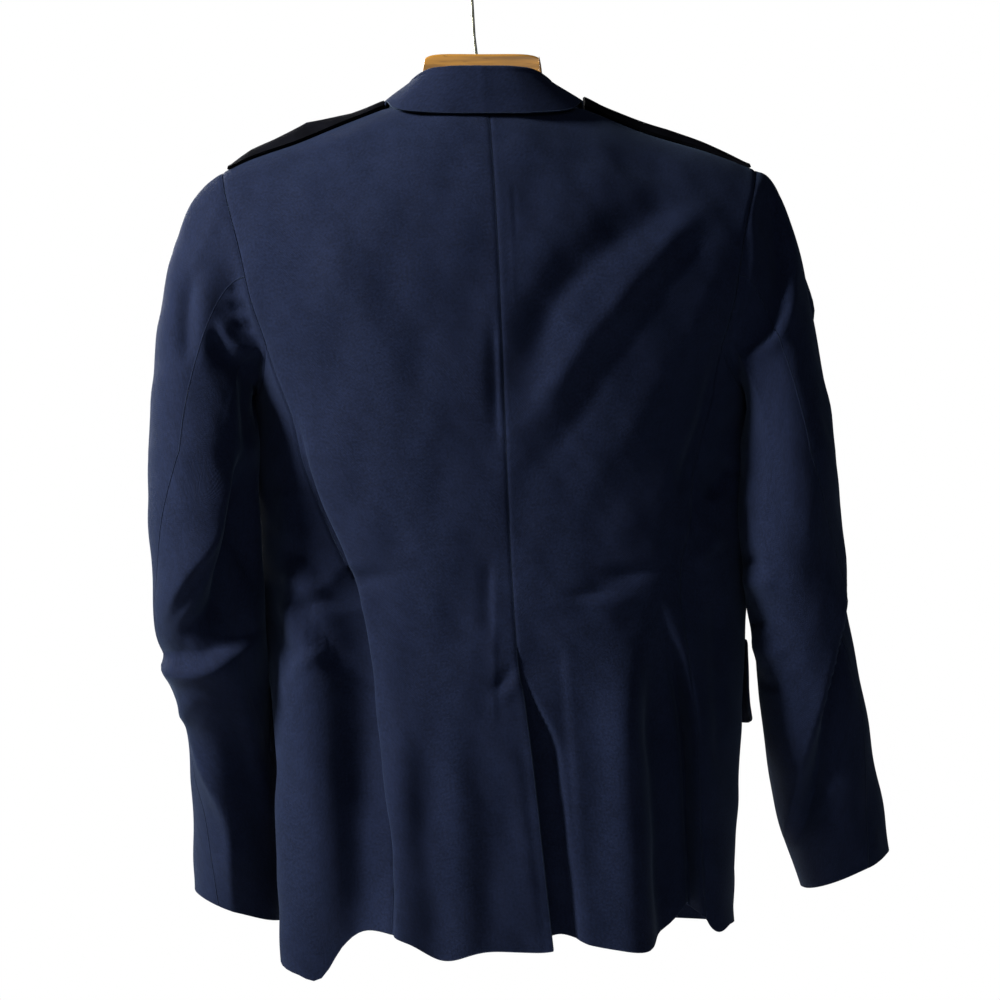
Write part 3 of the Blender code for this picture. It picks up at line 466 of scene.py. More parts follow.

# ---- Creases, placed one by one ----
# Each runs along a path of (x, z) points, seen from the side it lies on. left and right are its reach to
# either hand when going along it, height is how far the cloth stands out (- is in), and sharp is 2 for a
# soft roll and near 1 for a pressed edge.

CREASE_COLUMNS = ("path", "left", "right", "height", "sharp")
BODY_BACK_CREASES = (
    # drag folds from the right armhole to the small of the back
    (((-214, -196), (-184, -217), (-138, -248), (-88, -289), (-59, -331), (-46, -390), (-44, -430)),
     16, 19, -6.2, 2.0),
    (((-222, -210), (-188, -244), (-146, -289), (-96, -348), (-51, -415), (-24, -446)), 12, 11, 3.6, 2.0),
    (((-236, -220), (-209, -248), (-171, -289), (-129, -352), (-88, -415), (-51, -465), (-30, -495)),
     11, 12, -2.4, 2.0),
    (((-246, -250), (-230, -273), (-192, -340), (-143, -415), (-109, -462), (-80, -490)), 14, 16, 1.6, 2.0),
    (((-226, -330), (-218, -364), (-205, -415), (-184, -474), (-172, -500)), 10, 9, -6.5, 2.0),
    # the waist
    (((-176, -470), (-128, -512), (-80, -548), (-40, -572)), 16, 16, 1.0, 2.0),
    (((-168, -545), (-122, -580), (-70, -616)), 16, 16, 0.7, 2.0),
    (((-176, -540), (-150, -554), (-115, -564), (-80, -571), (-40, -588)), 14, 14, 2.4, 2.0),
    # beside the centre seam
    (((-16, -320), (-17, -380), (-20, -450)), 3, 7, -1.8, 2.0),
    (((-12, -535), (-12, -575), (-15, -618)), 4, 9, -2.4, 2.0),
    (((-14, -560), (-16, -600), (-17, -650), (-16, -700)), 3, 6, 1.0, 1.6),
    (((-12, -658), (-24, -646), (-36, -630)), 6, 5, -2.2, 1.8),
    (((-18, -666), (-30, -656), (-41, -642)), 5, 6, 1.2, 1.8),
    (((-33, -206), (-35, -240), (-37, -262)), 1.8, 2.6, -0.35, 2.0),
    (((-29, -200), (-32, -262), (-35, -330)), 2.2, 2.2, 0.25, 2.0),
    # below the waist, left of the vent
    (((72, -660), (62, -720), (56, -790), (42, -900)), 14, 18, 2.0, 2.0),
    (((54, -740), (42, -800), (30, -900)), 12, 12, -0.8, 2.0),
    (((14, -690), (8, -780), (4, -900)), 12, 14, 1.2, 2.0),
    (((-8, -700), (-12, -780), (-16, -900)), 10, 10, -0.6, 2.0),
    (((30, -700), (26, -760), (20, -840)), 10, 10, -0.5, 2.0),
    (((-30, -690), (-40, -760), (-50, -830), (-58, -900)), 7, 10, 1.6, 2.0),
    # below the waist, right of the vent
    (((-120, -585), (-128, -640), (-132, -720), (-136, -820), (-138, -990)), 30, 16, 3.0, 2.0),
    (((-100, -640), (-104, -700), (-106, -780)), 12, 14, -1.2, 2.0),
    (((-158, -565), (-172, -609), (-184, -641), (-189, -700), (-194, -800), (-199, -900), (-203, -990)),
     3, 24, -25.0, 1.6),
    # left shoulder to the waist, broad and soft
    (((196, -232), (160, -290), (120, -360), (84, -440)), 26, 20, -2.2, 2.0),
    (((150, -225), (110, -300), (78, -380), (52, -470)), 22, 26, 1.8, 2.0),
    (((96, -250), (62, -330), (40, -420)), 20, 20, -1.2, 2.0),
    (((120, -470), (90, -500), (52, -540)), 14, 12, -1.6, 2.0),
    (((60, -500), (40, -560), (34, -620)), 14, 12, 1.2, 2.0),
    (((200, -195), (120, -178), (40, -182)), 10, 12, -1.2, 2.0),
    (((-60, -190), (-120, -186), (-200, -208)), 10, 12, -1.2, 2.0),
    (((24, -168), (-8, -172), (-40, -168)), 6, 8, -1.0, 2.0),
    # the valley beside the left side seam
    (((168, -390), (160, -420), (144, -489), (119, -544), (104, -600), (96, -676), (87, -737),
      (77, -809), (72, -930)),
     3.5, 30, -19.0, 1.4),
    (((196, -440), (178, -495), (158, -548), (146, -604), (143, -676), (139, -737), (132, -809), (126, -930)),
     22, 22, 14.0, 2.0),
    # left side panel, knots at the waist and the two long flutes
    (((174, -470), (167, -500), (160, -532)), 8, 9, 4.5, 2.0),
    (((172, -532), (154, -544), (134, -566)), 10, 3, -6.0, 1.8),
    (((172, -556), (152, -561), (132, -572)), 4, 8, 4.0, 1.8),
    (((176, -575), (164, -592), (158, -622)), 10, 8, 4.0, 2.0),
    (((166, -572), (148, -592), (134, -622), (126, -650)), 9, 4, -7.0, 1.8),
    (((158, -640), (146, -630), (132, -618)), 4, 7, 3.0, 1.8),
    (((184, -610), (190, -700), (190, -800), (186, -915)), 10, 14, -3.0, 2.0),
    # right side panel
    (((-240, -452), (-222, -478), (-206, -488)), 3, 14, -7.0, 1.8),
    (((-226, -515), (-208, -530), (-194, -550)), 8, 7, 3.0, 2.0),
    (((-215, -560), (-216, -640), (-214, -740)), 7, 8, -3.0, 2.0),
)
BODY_FRONT_CREASES = (
    (((150, -260), (120, -330), (90, -420)), 22, 18, -3.6, 2.0),
    (((176, -280), (150, -360), (118, -450)), 16, 18, 3.3, 2.0),
    (((-190, -270), (-158, -350), (-122, -440)), 18, 20, -4.2, 2.0),
    (((-214, -300), (-186, -380), (-158, -460)), 16, 14, 3.6, 2.0),
    (((-40, -380), (-80, -420), (-130, -440)), 10, 12, -2.7, 2.0),
    (((20, -390), (70, -424), (124, -452)), 12, 10, -2.4, 2.0),
    (((-44, -474), (-90, -500), (-150, -508)), 10, 12, -3.0, 2.0),
    (((14, -480), (60, -506), (120, -520)), 10, 10, -2.7, 2.0),
    (((-60, -560), (-110, -566), (-170, -552)), 12, 12, 2.4, 2.0),
    (((40, -566), (90, -572), (150, -560)), 12, 12, 2.7, 2.0),
    (((120, -730), (126, -800), (130, -900)), 16, 20, 4.8, 2.0),
    (((80, -740), (84, -820), (90, -900)), 14, 14, -3.9, 2.0),
    (((-150, -720), (-160, -800), (-166, -900)), 18, 16, 5.4, 2.0),
    (((-108, -720), (-112, -800), (-118, -900)), 14, 16, -4.2, 2.0),
    (((10, -700), (14, -800), (10, -900)), 14, 14, 2.1, 2.0),
    (((-60, -700), (-64, -800), (-70, -900)), 14, 14, 2.4, 2.0),
    (((190, -420), (178, -500), (172, -600)), 12, 12, -4.5, 2.0),
    (((-214, -430), (-206, -520), (-196, -600)), 12, 12, -4.5, 2.0),
)
SLEEVE_BACK_CREASES = (
    # left sleeve: head, puckers under the armhole, the deep fold at the elbow and the pressed edge below it
    (((256, -276), (259, -320), (254, -372)), 9, 9, -7.0, 2.0),
    (((240, -262), (242, -320), (236, -380)), 12, 10, 2.0, 2.0),
    (((224, -210), (240, -250), (262, -300)), 8, 8, 1.2, 2.0),
    (((200, -296), (212, -300), (222, -297)), 3, 4, -2.6, 1.8),
    (((197, -312), (209, -316), (221, -313)), 4, 3, -3.2, 1.8),
    (((194, -328), (206, -333), (219, -329)), 3, 4, -3.0, 1.8),
    (((232, -322), (222, -344), (206, -354), (190, -346)), 10, 2.5, 5.0, 1.6),
    (((236, -334), (222, -356), (205, -366), (188, -358)), 3, 14, -7.0, 1.8),
    (((204, -345), (203, -400), (200, -460)), 5, 7, -7.0, 1.8),
    (((214, -440), (222, -492), (230, -528), (254, -560), (282, -604)), 3, 22, 8.0, 1.7),
    (((198, -432), (204, -480), (210, -520), (222, -556), (240, -590), (268, -618)), 26, 8, -32.0, 2.4),
    (((296, -624), (262, -630), (240, -628), (216, -618), (186, -598)), 34, 4.5, -12.0, 2.0),
    (((296, -633), (262, -639), (238, -637), (212, -624)), 4, 15, 8.0, 1.6),
    (((270, -690), (258, -676), (246, -654)), 7, 7, 2.4, 1.8),
    (((284, -600), (272, -632), (259, -667), (249, -718), (228, -777), (224, -827), (222, -900)),
     30, 11, 11.0, 1.05),
    (((226, -650), (216, -700), (204, -760), (200, -840), (198, -900)), 14, 20, -8.0, 2.0),
    (((256, -430), (258, -470), (256, -520)), 14, 14, 1.6, 2.0),
    # right sleeve: the crescent behind the head, small creases inside the elbow, the long pressed edge
    (((-264, -190), (-276, -250), (-277, -296), (-268, -328), (-252, -348), (-222, -362)),
     2.2, 20, -10.0, 1.9),
    (((-272, -190), (-284, -250), (-285, -298), (-274, -334), (-256, -354), (-226, -372)), 7, 3, 3.0, 1.8),
    (((-238, -214), (-246, -262), (-240, -310), (-226, -352)), 8, 9, 2.6, 2.0),
    (((-300, -380), (-304, -440), (-306, -500)), 16, 16, 1.8, 2.0),
    (((-262, -400), (-262, -460), (-264, -540)), 16, 22, -3.0, 2.0),
    (((-226, -536), (-242, -543), (-258, -541)), 9, 3, -4.0, 1.6),
    (((-226, -556), (-248, -562), (-272, -560)), 8, 10, 3.6, 1.8),
    (((-230, -584), (-248, -600), (-266, -602)), 12, 3, -4.5, 1.6),
    (((-238, -612), (-258, -622), (-282, -626)), 8, 9, 3.4, 1.8),
    (((-246, -640), (-262, -656), (-278, -652)), 10, 5, -3.0, 1.7),
    (((-330, -500), (-330, -560), (-322, -620), (-312, -668), (-296, -740), (-280, -830)), 2.0, 24, 8.0, 1.1),
    (((-337, -520), (-337, -570), (-329, -620), (-319, -668), (-303, -744), (-286, -836)), 15, 4, -15.0, 1.6),
    (((-284, -640), (-290, -700), (-290, -760)), 10, 12, 1.6, 2.0),
    (((-333, -784), (-338, -800)), 1.0, 1.0, -0.4, 2.0),
)
SLEEVE_FRONT_CREASES = (
    (((262, -240), (268, -300), (262, -380)), 12, 12, -3.0, 2.0),
    (((236, -380), (250, -440), (252, -500)), 14, 12, 2.0, 2.0),
    (((214, -520), (238, -556), (262, -566)), 8, 14, -6.0, 1.7),
    (((212, -556), (236, -590), (262, -604)), 8, 12, -5.0, 1.7),
    (((210, -540), (238, -574), (264, -586)), 8, 8, 3.6, 1.8),
    (((206, -610), (222, -640), (250, -660)), 8, 10, -3.0, 1.8),
    (((228, -700), (230, -780), (230, -860)), 12, 12, 1.6, 2.0),
    (((-296, -240), (-304, -300), (-300, -380)), 12, 12, -3.0, 2.0),
    (((-256, -380), (-272, -440), (-280, -500)), 12, 14, 2.0, 2.0),
    (((-252, -530), (-280, -560), (-312, -572)), 12, 8, -5.0, 1.7),
    (((-256, -574), (-284, -604), (-318, -618)), 10, 8, -4.0, 1.7),
    (((-254, -552), (-282, -584), (-314, -596)), 8, 8, 3.2, 1.8),
    (((-270, -640), (-292, -668), (-322, -684)), 9, 8, -2.4, 1.8),
    (((-316, -700), (-326, -760), (-336, -820)), 12, 12, 1.6, 2.0),
)

# The edge of the dark underlap in the vent: how far right of the centre back line the right back stands out.
WEDGE_COLUMNS = ("z", "out")
WEDGE = (
    (-634, 0),
    (-670, 14),
    (-692, 24),
    (-740, 29),
    (-800, 32),
    (-870, 34),
    (-900, 35),
)

def named(columns, rows):
    """Each row of a short table as a dictionary."""
    return [dict(zip(columns, row)) for row in rows]


def bridge(t, first, leaving, last, arriving):
    """Smooth way from first to last, with the slopes at both ends."""
    return (
        first * (1 + 2 * t) * (1 - t) ** 2
        + leaving * t * (1 - t) ** 2
        + last * t**2 * (3 - 2 * t)
        + arriving * t**2 * (t - 1)
    )


class Table:
    """Rows of named columns, read smoothly between the rows. All but the plain ones come out in metres."""

    def __init__(self, columns, rows, key, plain=()):
        order = sorted(rows, key=lambda row: row[columns.index(key)])
        self.at = np.array([row[columns.index(key)] for row in order], float)
        self.values = {
            name: np.array([row[place] for row in order], float) * (1.0 if name in plain else MM)
            for place, name in enumerate(columns)
        }
        self.slopes = {name: np.gradient(values, self.at) for name, values in self.values.items()}

    def read(self, name, where):
        """Cubic through the rows; where is in the key's own unit."""
        where = np.clip(np.asarray(where, float), self.at[0], self.at[-1])
        low = np.clip(np.searchsorted(self.at, where) - 1, 0, len(self.at) - 2)
        step = self.at[low + 1] - self.at[low]
        t = (where - self.at[low]) / step
        values, slopes = self.values[name], self.slopes[name]
        return bridge(t, values[low], slopes[low] * step, values[low + 1], slopes[low + 1] * step)


sections = Table(SECTION_COLUMNS, SECTIONS, "z")
ridge_line = Table(RIDGE_COLUMNS, RIDGE, "x")
hem_line = Table(HEM_COLUMNS, HEM, "turn", plain=("turn",))
collar_table = Table(COLLAR_COLUMNS, COLLAR, "at", plain=("at",))
wedge_line = Table(WEDGE_COLUMNS, WEDGE, "z")


# ---- The body's surface ----


def ridge(x):
    return ridge_line.read("z", x / MM)


def ease(t):
    t = np.clip(t, 0, 1)
    return t * t * (3 - 2 * t)


def unit(vectors):
    return vectors / np.maximum(np.linalg.norm(vectors, axis=-1, keepdims=True), TINY)


def bare_point(turn, z):
    """A point of the body before its folds."""
    turn, z = np.broadcast_arrays(np.asarray(turn, float), np.asarray(z, float))
    row = {name: sections.read(name, z / MM) for name in SECTION_COLUMNS[1:7]}
    across = np.sin(turn)
    behind = np.cos(turn)
    x = row["centre"] + np.where(across >= 0, row["left"], row["right"]) * across
    square = np.where(behind >= 0, ROUND_BACK, ROUND_FRONT)
    depth = np.where(behind >= 0, row["back"], -row["front"])
    share = np.clip(1 - np.abs(across) ** square, 0, 1) ** (1 / square)
    fallen = np.clip((ridge(x) - z) / SHOULDER_ROLL, 0, 1)
    roll = (1 - (1 - fallen) ** 2) ** ROLL_POWER
    seam = np.clip(behind * SHOULDER_SPLIT, -1, 1) * SEAM_GAP / 2
    return np.stack([x, depth * share * roll + seam - row["lean"] * across**4, z], axis=-1)


def crossing(point_at, turn, z):
    """Unit normal of a surface given by turn and height, pointing out. On the ridge it stands upright."""
    turn, z = np.broadcast_arrays(np.asarray(turn, float), np.asarray(z, float))
    step_turn, step_z = 0.012, 1.5 * MM
    along = point_at(turn + step_turn, z) - point_at(turn - step_turn, z)
    up = point_at(turn, z + step_z) - point_at(turn, z - step_z)
    normal = np.cross(up, along)
    fallen = ridge(point_at(turn, z)[..., 0]) - z
    normal[..., 1] *= ease(fallen / RIDGE_REACH)
    return unit(normal)


def fold_height(x, z, behind):
    """Sum of the large folds at a place on the back."""
    offset = x - sections.read("centre", z / MM)
    total = np.zeros_like(x)
    for fold in named(FOLD_COLUMNS, FOLDS):
        rise = fold["top_z"] - fold["foot_z"]
        lean = fold["top_at"] - fold["foot_at"]
        along = (z / MM - fold["foot_z"]) / rise
        line = (fold["foot_at"] + lean * along) * MM
        beside = (offset - line) / (fold["reach"] * MM * math.hypot(rise, lean) / rise)
        fade = ease((1 - along) / FOLD_END)
        if fold["foot_z"] > OPEN_FOOT:
            fade = fade * ease(along / FOLD_END)
        total += fold["height"] * MM * np.exp(-(beside**2)) * fade
    return total * ease(behind * FOLD_FACING)


def folded_point(turn, z):
    """A point of the body with its large folds."""
    turn, z = np.broadcast_arrays(np.asarray(turn, float), np.asarray(z, float))
    bare = bare_point(turn, z)
    return bare + crossing(bare_point, turn, z) * fold_height(bare[..., 0], z, np.cos(turn))[..., None]


def half_width(side, z):
    return sections.read("left" if side > 0 else "right", z / MM)


def turn_at(side, offset, z, front=False):
    """Turn of the place that lies offset out from the centre back line, on one side of the body."""
    angle = np.arcsin(np.clip(offset / half_width(side, z), -1, 1))
    return side * (math.pi - angle if front else angle)


def back_edge(side, z):
    """Turn of the back panel's outer edge: the armhole, then the side seam."""
    return turn_at(side, sections.read("seam_left" if side > 0 else "seam_right", z / MM), z)


def tip_of(side):
    return TIP_LEFT if side > 0 else TIP_RIGHT


def neck_point(side):
    return NECK_CENTRE + side * NECK_HALF


def ridge_at(x):
    return float(ridge(np.array(x)))


def front_edge(side, z):
    """Turn of the front panel's outer edge."""
    tip_z = ridge_at(tip_of(side))
    at_tip = abs(tip_of(side) - float(sections.read("centre", tip_z / MM)))
    risen = ease((z - ARMHOLE_FOOT) / (tip_z - ARMHOLE_FOOT)) ** ARMHOLE_CURVE
    offset = FRONT_SEAM_SHARE * half_width(side, z) * (1 - risen) + at_tip * risen
    return turn_at(side, offset, z, front=True)


def neckline(x):
    """Height of the back neckline, or of the shoulder beyond it."""
    inside = np.clip(1 - ((x - NECK_CENTRE) / NECK_HALF) ** 2, 0, 1)
    neck = ridge_at(neck_point(1)) - NECK_DROP * inside**NECK_CURVE
    return np.where(inside > 0, neck, ridge(x))


def gap_turn(side, z):
    """Half a seam's clearance, as a turn."""
    return SEAM_GAP / 2 / half_width(side, z)


# ---- Creases ----


def smooth_path(points, steps=5):
    """A smooth curve through a few points."""
    points = np.array(points, float) * MM
    if len(points) < 3:
        return points
    ends = np.vstack([2 * points[0] - points[1], points, 2 * points[-1] - points[-2]])
    t = np.linspace(0, 1, steps + 1)[:-1, None]
    pieces = []
    for i in range(1, len(ends) - 2):
        a, b, c, d = ends[i - 1 : i + 3]
        bend, twist = 2 * a - 5 * b + 4 * c - d, 3 * b - a - 3 * c + d
        pieces.append(0.5 * (2 * b + (c - a) * t + bend * t**2 + twist * t**3))
    return np.vstack(pieces + [points[-1:]])


def beside_path(spot, path):
    """How far each spot lies from a path, on which hand (+ is left), and how far along it, from 0 to 1."""
    step = np.diff(path, axis=0)
    length = np.linalg.norm(step, axis=1)
    walked = np.concatenate([[0], np.cumsum(length)])
    nearest = np.full(len(spot), np.inf)
    hand, along = np.zeros(len(spot)), np.zeros(len(spot))
    for start, way, size, before in zip(path, step / length[:, None], length, walked):
        off = spot - start
        share = np.clip(off @ way, 0, size)
        gap = np.linalg.norm(off - share[:, None] * way, axis=1)
        closer = gap < nearest
        nearest[closer] = gap[closer]
        hand[closer] = (way[0] * off[:, 1] - way[1] * off[:, 0])[closer]
        along[closer] = ((before + share) / walked[-1])[closer]
    return nearest, hand, along


def crease_height(x, z, creases, facing):
    """Sum of the creases at places seen from behind (facing 1) or from the front (facing -1)."""
    total = np.zeros_like(x)
    place = np.stack([-facing * x, z], axis=-1)
    for crease in named(CREASE_COLUMNS, creases):
        path = smooth_path(crease["path"])
        path[:, 0] *= -facing
        reach = CREASE_CUT ** (1 / crease["sharp"]) * max(crease["left"], crease["right"]) * MM
        near = np.all((place > path.min(axis=0) - reach) & (place < path.max(axis=0) + reach), axis=-1)
        if not near.any():
            continue
        spot = place[near]
        nearest, hand, along = beside_path(spot, path)
        side = np.where(hand > 0, crease["left"], crease["right"]) * MM
        fade = ease(along / CREASE_FADE) * ease((1 - along) / CREASE_FADE)
        total[near] += crease["height"] * MM * np.exp(-((nearest / side) ** crease["sharp"])) * fade
    return total


def waviness(x, z, shift):
    """The cloth's slow unevenness, its phase moved by shift."""
    total = np.zeros_like(x)
    for wave in named(WAVE_COLUMNS, WAVES):
        cycles = x / (wave["across"] * MM) + z / (wave["down"] * MM)
        total += wave["height"] * MM * np.sin(2 * math.pi * cycles + wave["phase"] + shift)
    return total


def body_relief(turn, z):
    """Creases and unevenness of the body, along its normal."""
    place = bare_point(turn, z)
    x = place[..., 0]
    facing = np.cos(turn)
    behind, ahead = (ease(way * facing * CREASE_FACING + CREASE_BLEND) for way in (1, -1))
    back = crease_height(x, z, BODY_BACK_CREASES, 1) * behind
    front = crease_height(x, z, BODY_FRONT_CREASES, -1) * ahead
    uneven = waviness(x, z, np.where(facing > 0, 0.0, FRONT_WAVE))
    return (back + front + uneven) * ease((ridge(x) - z) / SHOULDER_CALM)


def cloth_point(turn, z, out=0.0):
    """A point of the dressed body: its folds, its creases, and out over them."""
    turn, z = np.broadcast_arrays(np.asarray(turn, float), np.asarray(z, float))
    lift = body_relief(turn, z) + out
    return folded_point(turn, z) + crossing(folded_point, turn, z) * lift[..., None]


# ---- Cloth as a mesh ----


def cloth_settings():
    return bpy.context.scene.jacket_cloth


def share_of(count, crowd=0.0, ends=(True, True)):
    """Shares from 0 to 1, closer together at the ends by crowd."""
    t = np.linspace(0, 1, count + 1)
    if ends == (True, True):
        return t - crowd * np.sin(2 * np.pi * t) / (2 * np.pi)
    bent = t**2 if ends[0] else 1 - (1 - t) ** 2
    return t * (1 - crowd) + bent * crowd


def cells(length):
    """How many cells a length of cloth takes."""
    return max(4, int(round(length / (cloth_settings().cell * MM))))


def lengths_along(points, axis):
    """How far each point of a grid lies from its first row (axis 0) or column (axis 1), along the cloth."""
    step = np.linalg.norm(np.diff(points, axis=axis), axis=-1)
    total = np.cumsum(step, axis=axis)
    pad = [(0, 0), (0, 0)]
    pad[axis] = (1, 0)
    return np.pad(total, pad)


def seam_dip(points, seams):
    """How far the cloth sinks beside a seam. seams names the grid edges that are sewn."""
    rows, columns = points.shape[:2]
    across, down = lengths_along(points, 1), lengths_along(points, 0)
    total = np.zeros((rows, columns))
    gaps = {
        "first_column": across,
        "last_column": across[:, -1:] - across,
        "first_row": down,
        "last_row": down[-1:] - down,
    }
    for seam, depth in seams.items():
        total -= depth * MM * np.exp(-((gaps[seam] / SEAM_REACH) ** SEAM_CURVE))
    return total


def hold_edges(points):
    """The grid with one more line of points just inside each edge, so that a seam or hem turns sharply."""
    for axis in (0, 1):
        lines = np.moveaxis(points, axis, 0)
        held = []
        for edge, inside in ((0, 1), (-1, -2)):
            step = lines[inside] - lines[edge]
            size = np.linalg.norm(step, axis=-1, keepdims=True)
            held.append(lines[edge] + step * np.minimum(EDGE_HOLD / np.maximum(size, TINY), EDGE_HOLD_MOST))
        lines = np.concatenate([lines[:1], held[0][None], lines[1:-1], held[1][None], lines[-1:]])
        points = np.moveaxis(lines, 0, axis)
    return points


def grid_normals(points):
    return unit(np.cross(np.gradient(points, axis=0), np.gradient(points, axis=1)))


def edge_loop(rows, columns):
    """Rows and columns of a grid's edge, once round it."""
    loop = [(0, column) for column in range(columns)]
    loop += [(row, columns - 1) for row in range(1, rows)]
    loop += [(rows - 1, column) for column in range(columns - 2, -1, -1)]
    loop += [(row, 0) for row in range(rows - 2, 0, -1)]
    return np.array(loop).T


def wall_mesh(name, points, outward, material, seams, wall):
    """Cloth from a grid of outer points: an outer face, an inner face and a rounded edge between, with a UV
    map in metres that follows the grid."""
    flip = 1.0 if np.sum(grid_normals(points) * outward) > 0 else -1.0
    points = hold_edges(points)
    normals = grid_normals(points) * flip
    if seams:
        points = points + normals * seam_dip(points, seams)[..., None]
        normals = grid_normals(points) * flip
    rows, columns = points.shape[:2]
    inner = points - normals * wall
    row, column = edge_loop(rows, columns)
    edge, facing = points[row, column], normals[row, column]
    away = edge - points[np.clip(row, 1, rows - 2), np.clip(column, 1, columns - 2)]
    away = unit(away - facing * np.sum(away * facing, axis=-1, keepdims=True))
    middle = (edge + inner[row, column]) / 2 + away * wall * EDGE_ROUND
    count = rows * columns
    index = np.arange(count).reshape(rows, columns)
    quads = np.stack([index[:-1, :-1], index[1:, :-1], index[1:, 1:], index[:-1, 1:]], axis=-1).reshape(-1, 4)
    around = np.arange(len(row))
    after = np.roll(around, -1)
    outer_edge = row * columns + column
    inner_edge = outer_edge + count
    middle_edge = around + 2 * count
    steps = ((outer_edge, middle_edge), (middle_edge, inner_edge))
    bands = np.concatenate([np.stack([high, high[after], low[after], low], axis=-1) for high, low in steps])
    if flip > 0:
        quads = quads[:, ::-1]
    else:
        bands = bands[:, ::-1]
    faces = np.concatenate([quads, quads[:, ::-1] + count, bands])
    vertices = np.concatenate([points.reshape(-1, 3), inner.reshape(-1, 3), middle])
    mesh = bpy.data.meshes.new(name)
    mesh.from_pydata(vertices.tolist(), [], faces.tolist())
    across, down = lengths_along(points, 1), lengths_along(points, 0)
    across = across - across[:, columns // 2 : columns // 2 + 1]
    flat = np.stack([across, down], axis=-1).reshape(-1, 2)
    flat = np.concatenate([flat, flat, flat[outer_edge]])
    layer = mesh.uv_layers.new(name="cloth")
    corners = np.empty(len(mesh.loops), np.int32)
    mesh.loops.foreach_get("vertex_index", corners)
    layer.data.foreach_set("uv", flat[corners].astype(np.float32).ravel())
    mesh.shade_smooth()
    mesh.materials.append(material)
    piece = bpy.data.objects.new(name, mesh)
    bpy.context.collection.objects.link(piece)
    return piece


def flat_size(points):
    """Width, length and area of the flat cut of a grid of cloth."""
    width = float(lengths_along(points, 1)[:, -1].max())
    length = float(lengths_along(points, 0)[-1].max())
    one_way, other_way = points[1:, :-1], points[:-1, 1:]
    halves = [np.cross(one_way - corner, other_way - corner) for corner in (points[:-1, :-1], points[1:, 1:])]
    area = float(sum(np.linalg.norm(half, axis=-1) for half in halves).sum() / 2)
    return (width, length), min(area, MOST_AREA * width * length)


def sew(node, points, outward, seams=None, wall=CLOTH, slot="navy_wool"):
    """A piece of cloth that stands for its solid and hangs with the body."""
    piece = wall_mesh(f"cloth_{node}", points, outward, finish_named(CLOTH_FINISHES[slot]), seams, wall)
    flat, area = flat_size(points)
    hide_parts(node)
    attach(piece, "root")


# ---- Panels of the body ----


def hang(near, far, share, top, step):
    """Turns and heights of a row that lies step of the way from the hem up to top, between near and far."""
    z = np.full_like(share, ARMHOLE_FOOT)
    for _ in range(HEM_ROUNDS):
        turn = near(z) + (far(z) - near(z)) * share
        hem = hem_line.read("z", np.degrees(turn))
        z = hem + (top - hem) * step
    return near(z) + (far(z) - near(z)) * share, z


def panel_grid(side, near, far, top_x, front):
    """Grid of (turn, z) for a back or front panel: columns from near, at the centre, to far, at the side."""
    top_z = ridge(top_x) if front else neckline(top_x)
    centre = sections.read("centre", top_z / MM)
    top_turn = turn_at(side, np.abs(top_x - centre), top_z, front)
    low, high = near(top_z), far(np.minimum(top_z, top_z[-1]))
    share = (top_turn - low) / (high - low)
    share[-1] = 1.0
    if front:
        share[0] = 0.0
    lower = share_of(cells(SKIRT_LENGTH), crowd=0.5, ends=(True, False))
    upper = 1 - (1 - np.linspace(0, 1, cells(ARMHOLE_LENGTH) + 1)[1:]) ** ARMHOLE_STEP
    rows = [hang(near, far, share, ARMHOLE_FOOT, step) for step in lower]
    for step in upper:
        z = ARMHOLE_FOOT + (top_z - ARMHOLE_FOOT) * step
        rows.append((near(z) + (far(np.minimum(z, top_z[-1])) - near(z)) * share, z))
    return np.array(rows).swapaxes(0, 1)


def back_points(side):
    """Outer points of a back panel, with the vent: the left one laps over the right one, which is deeper."""
    centre_top = float(sections.read("centre", NECK_BACK))
    top_x = centre_top + (tip_of(side) - centre_top) * share_of(cells(BACK_WIDTH), crowd=0.7)

    def near(z):
        return side * gap_turn(side, z)

    def far(z):
        return back_edge(side, z) - side * gap_turn(side, z)

    turns, heights = panel_grid(side, near, far, top_x, front=False)
    hem = float(hem_line.read("z", 0))
    opened = ease((VENT_TOP + VENT_START - heights) / VENT_START)
    lapped = ease((VENT_TOP - heights) / VENT_START)
    down = np.clip((VENT_TOP - heights) / (VENT_TOP - hem), 0, 1)
    from_centre = np.abs(np.sin(turns)) * half_width(side, heights)
    nearness = np.clip(1 - from_centre / VENT_SPREAD, 0, 1) ** VENT_CURVE
    lap = VENT_LAP * (VENT_LAP_TOP + (1 - VENT_LAP_TOP) * down) if side > 0 else VENT_TUCK
    across = np.sin(turns) * half_width(side, heights) - side * lap * lapped * nearness
    turns = turn_at(side, side * across, heights)
    if side > 0:
        edge = np.clip(1 - from_centre / LIP_WIDTH, 0, 1)
        out = LIP_OUT * edge**2 * ease((LIP_TOP - heights) / LIP_FADE)
    else:
        wedge = wedge_line.read("out", heights / MM) + WEDGE_EDGE
        under = np.where(across > WEDGE_PAST, 1.0, ease((wedge - np.abs(across)) / WEDGE_EDGE_FADE))
        deep = WEDGE_DEPTH * ease((VENT_TOP - heights) / WEDGE_FADE)
        out = -(CLOTH + TRIM_GAP + WEDGE_CLEAR + deep) * opened * under
        beside = opened * (1 - under) * ease((BESIDE_WIDTH + across) / BESIDE_FADE)
        out -= (CLOTH + TRIM_GAP + BESIDE_CLEAR) * beside
    return cloth_point(turns, heights, out), turns, heights


def underarm_line(share):
    """Height of the armhole under the arm, from the back seam (0) to the front seam (1)."""
    return UNDERARM + (ARMHOLE_FOOT - UNDERARM) * np.abs(2 * share - 1) ** UNDERARM_CURVE


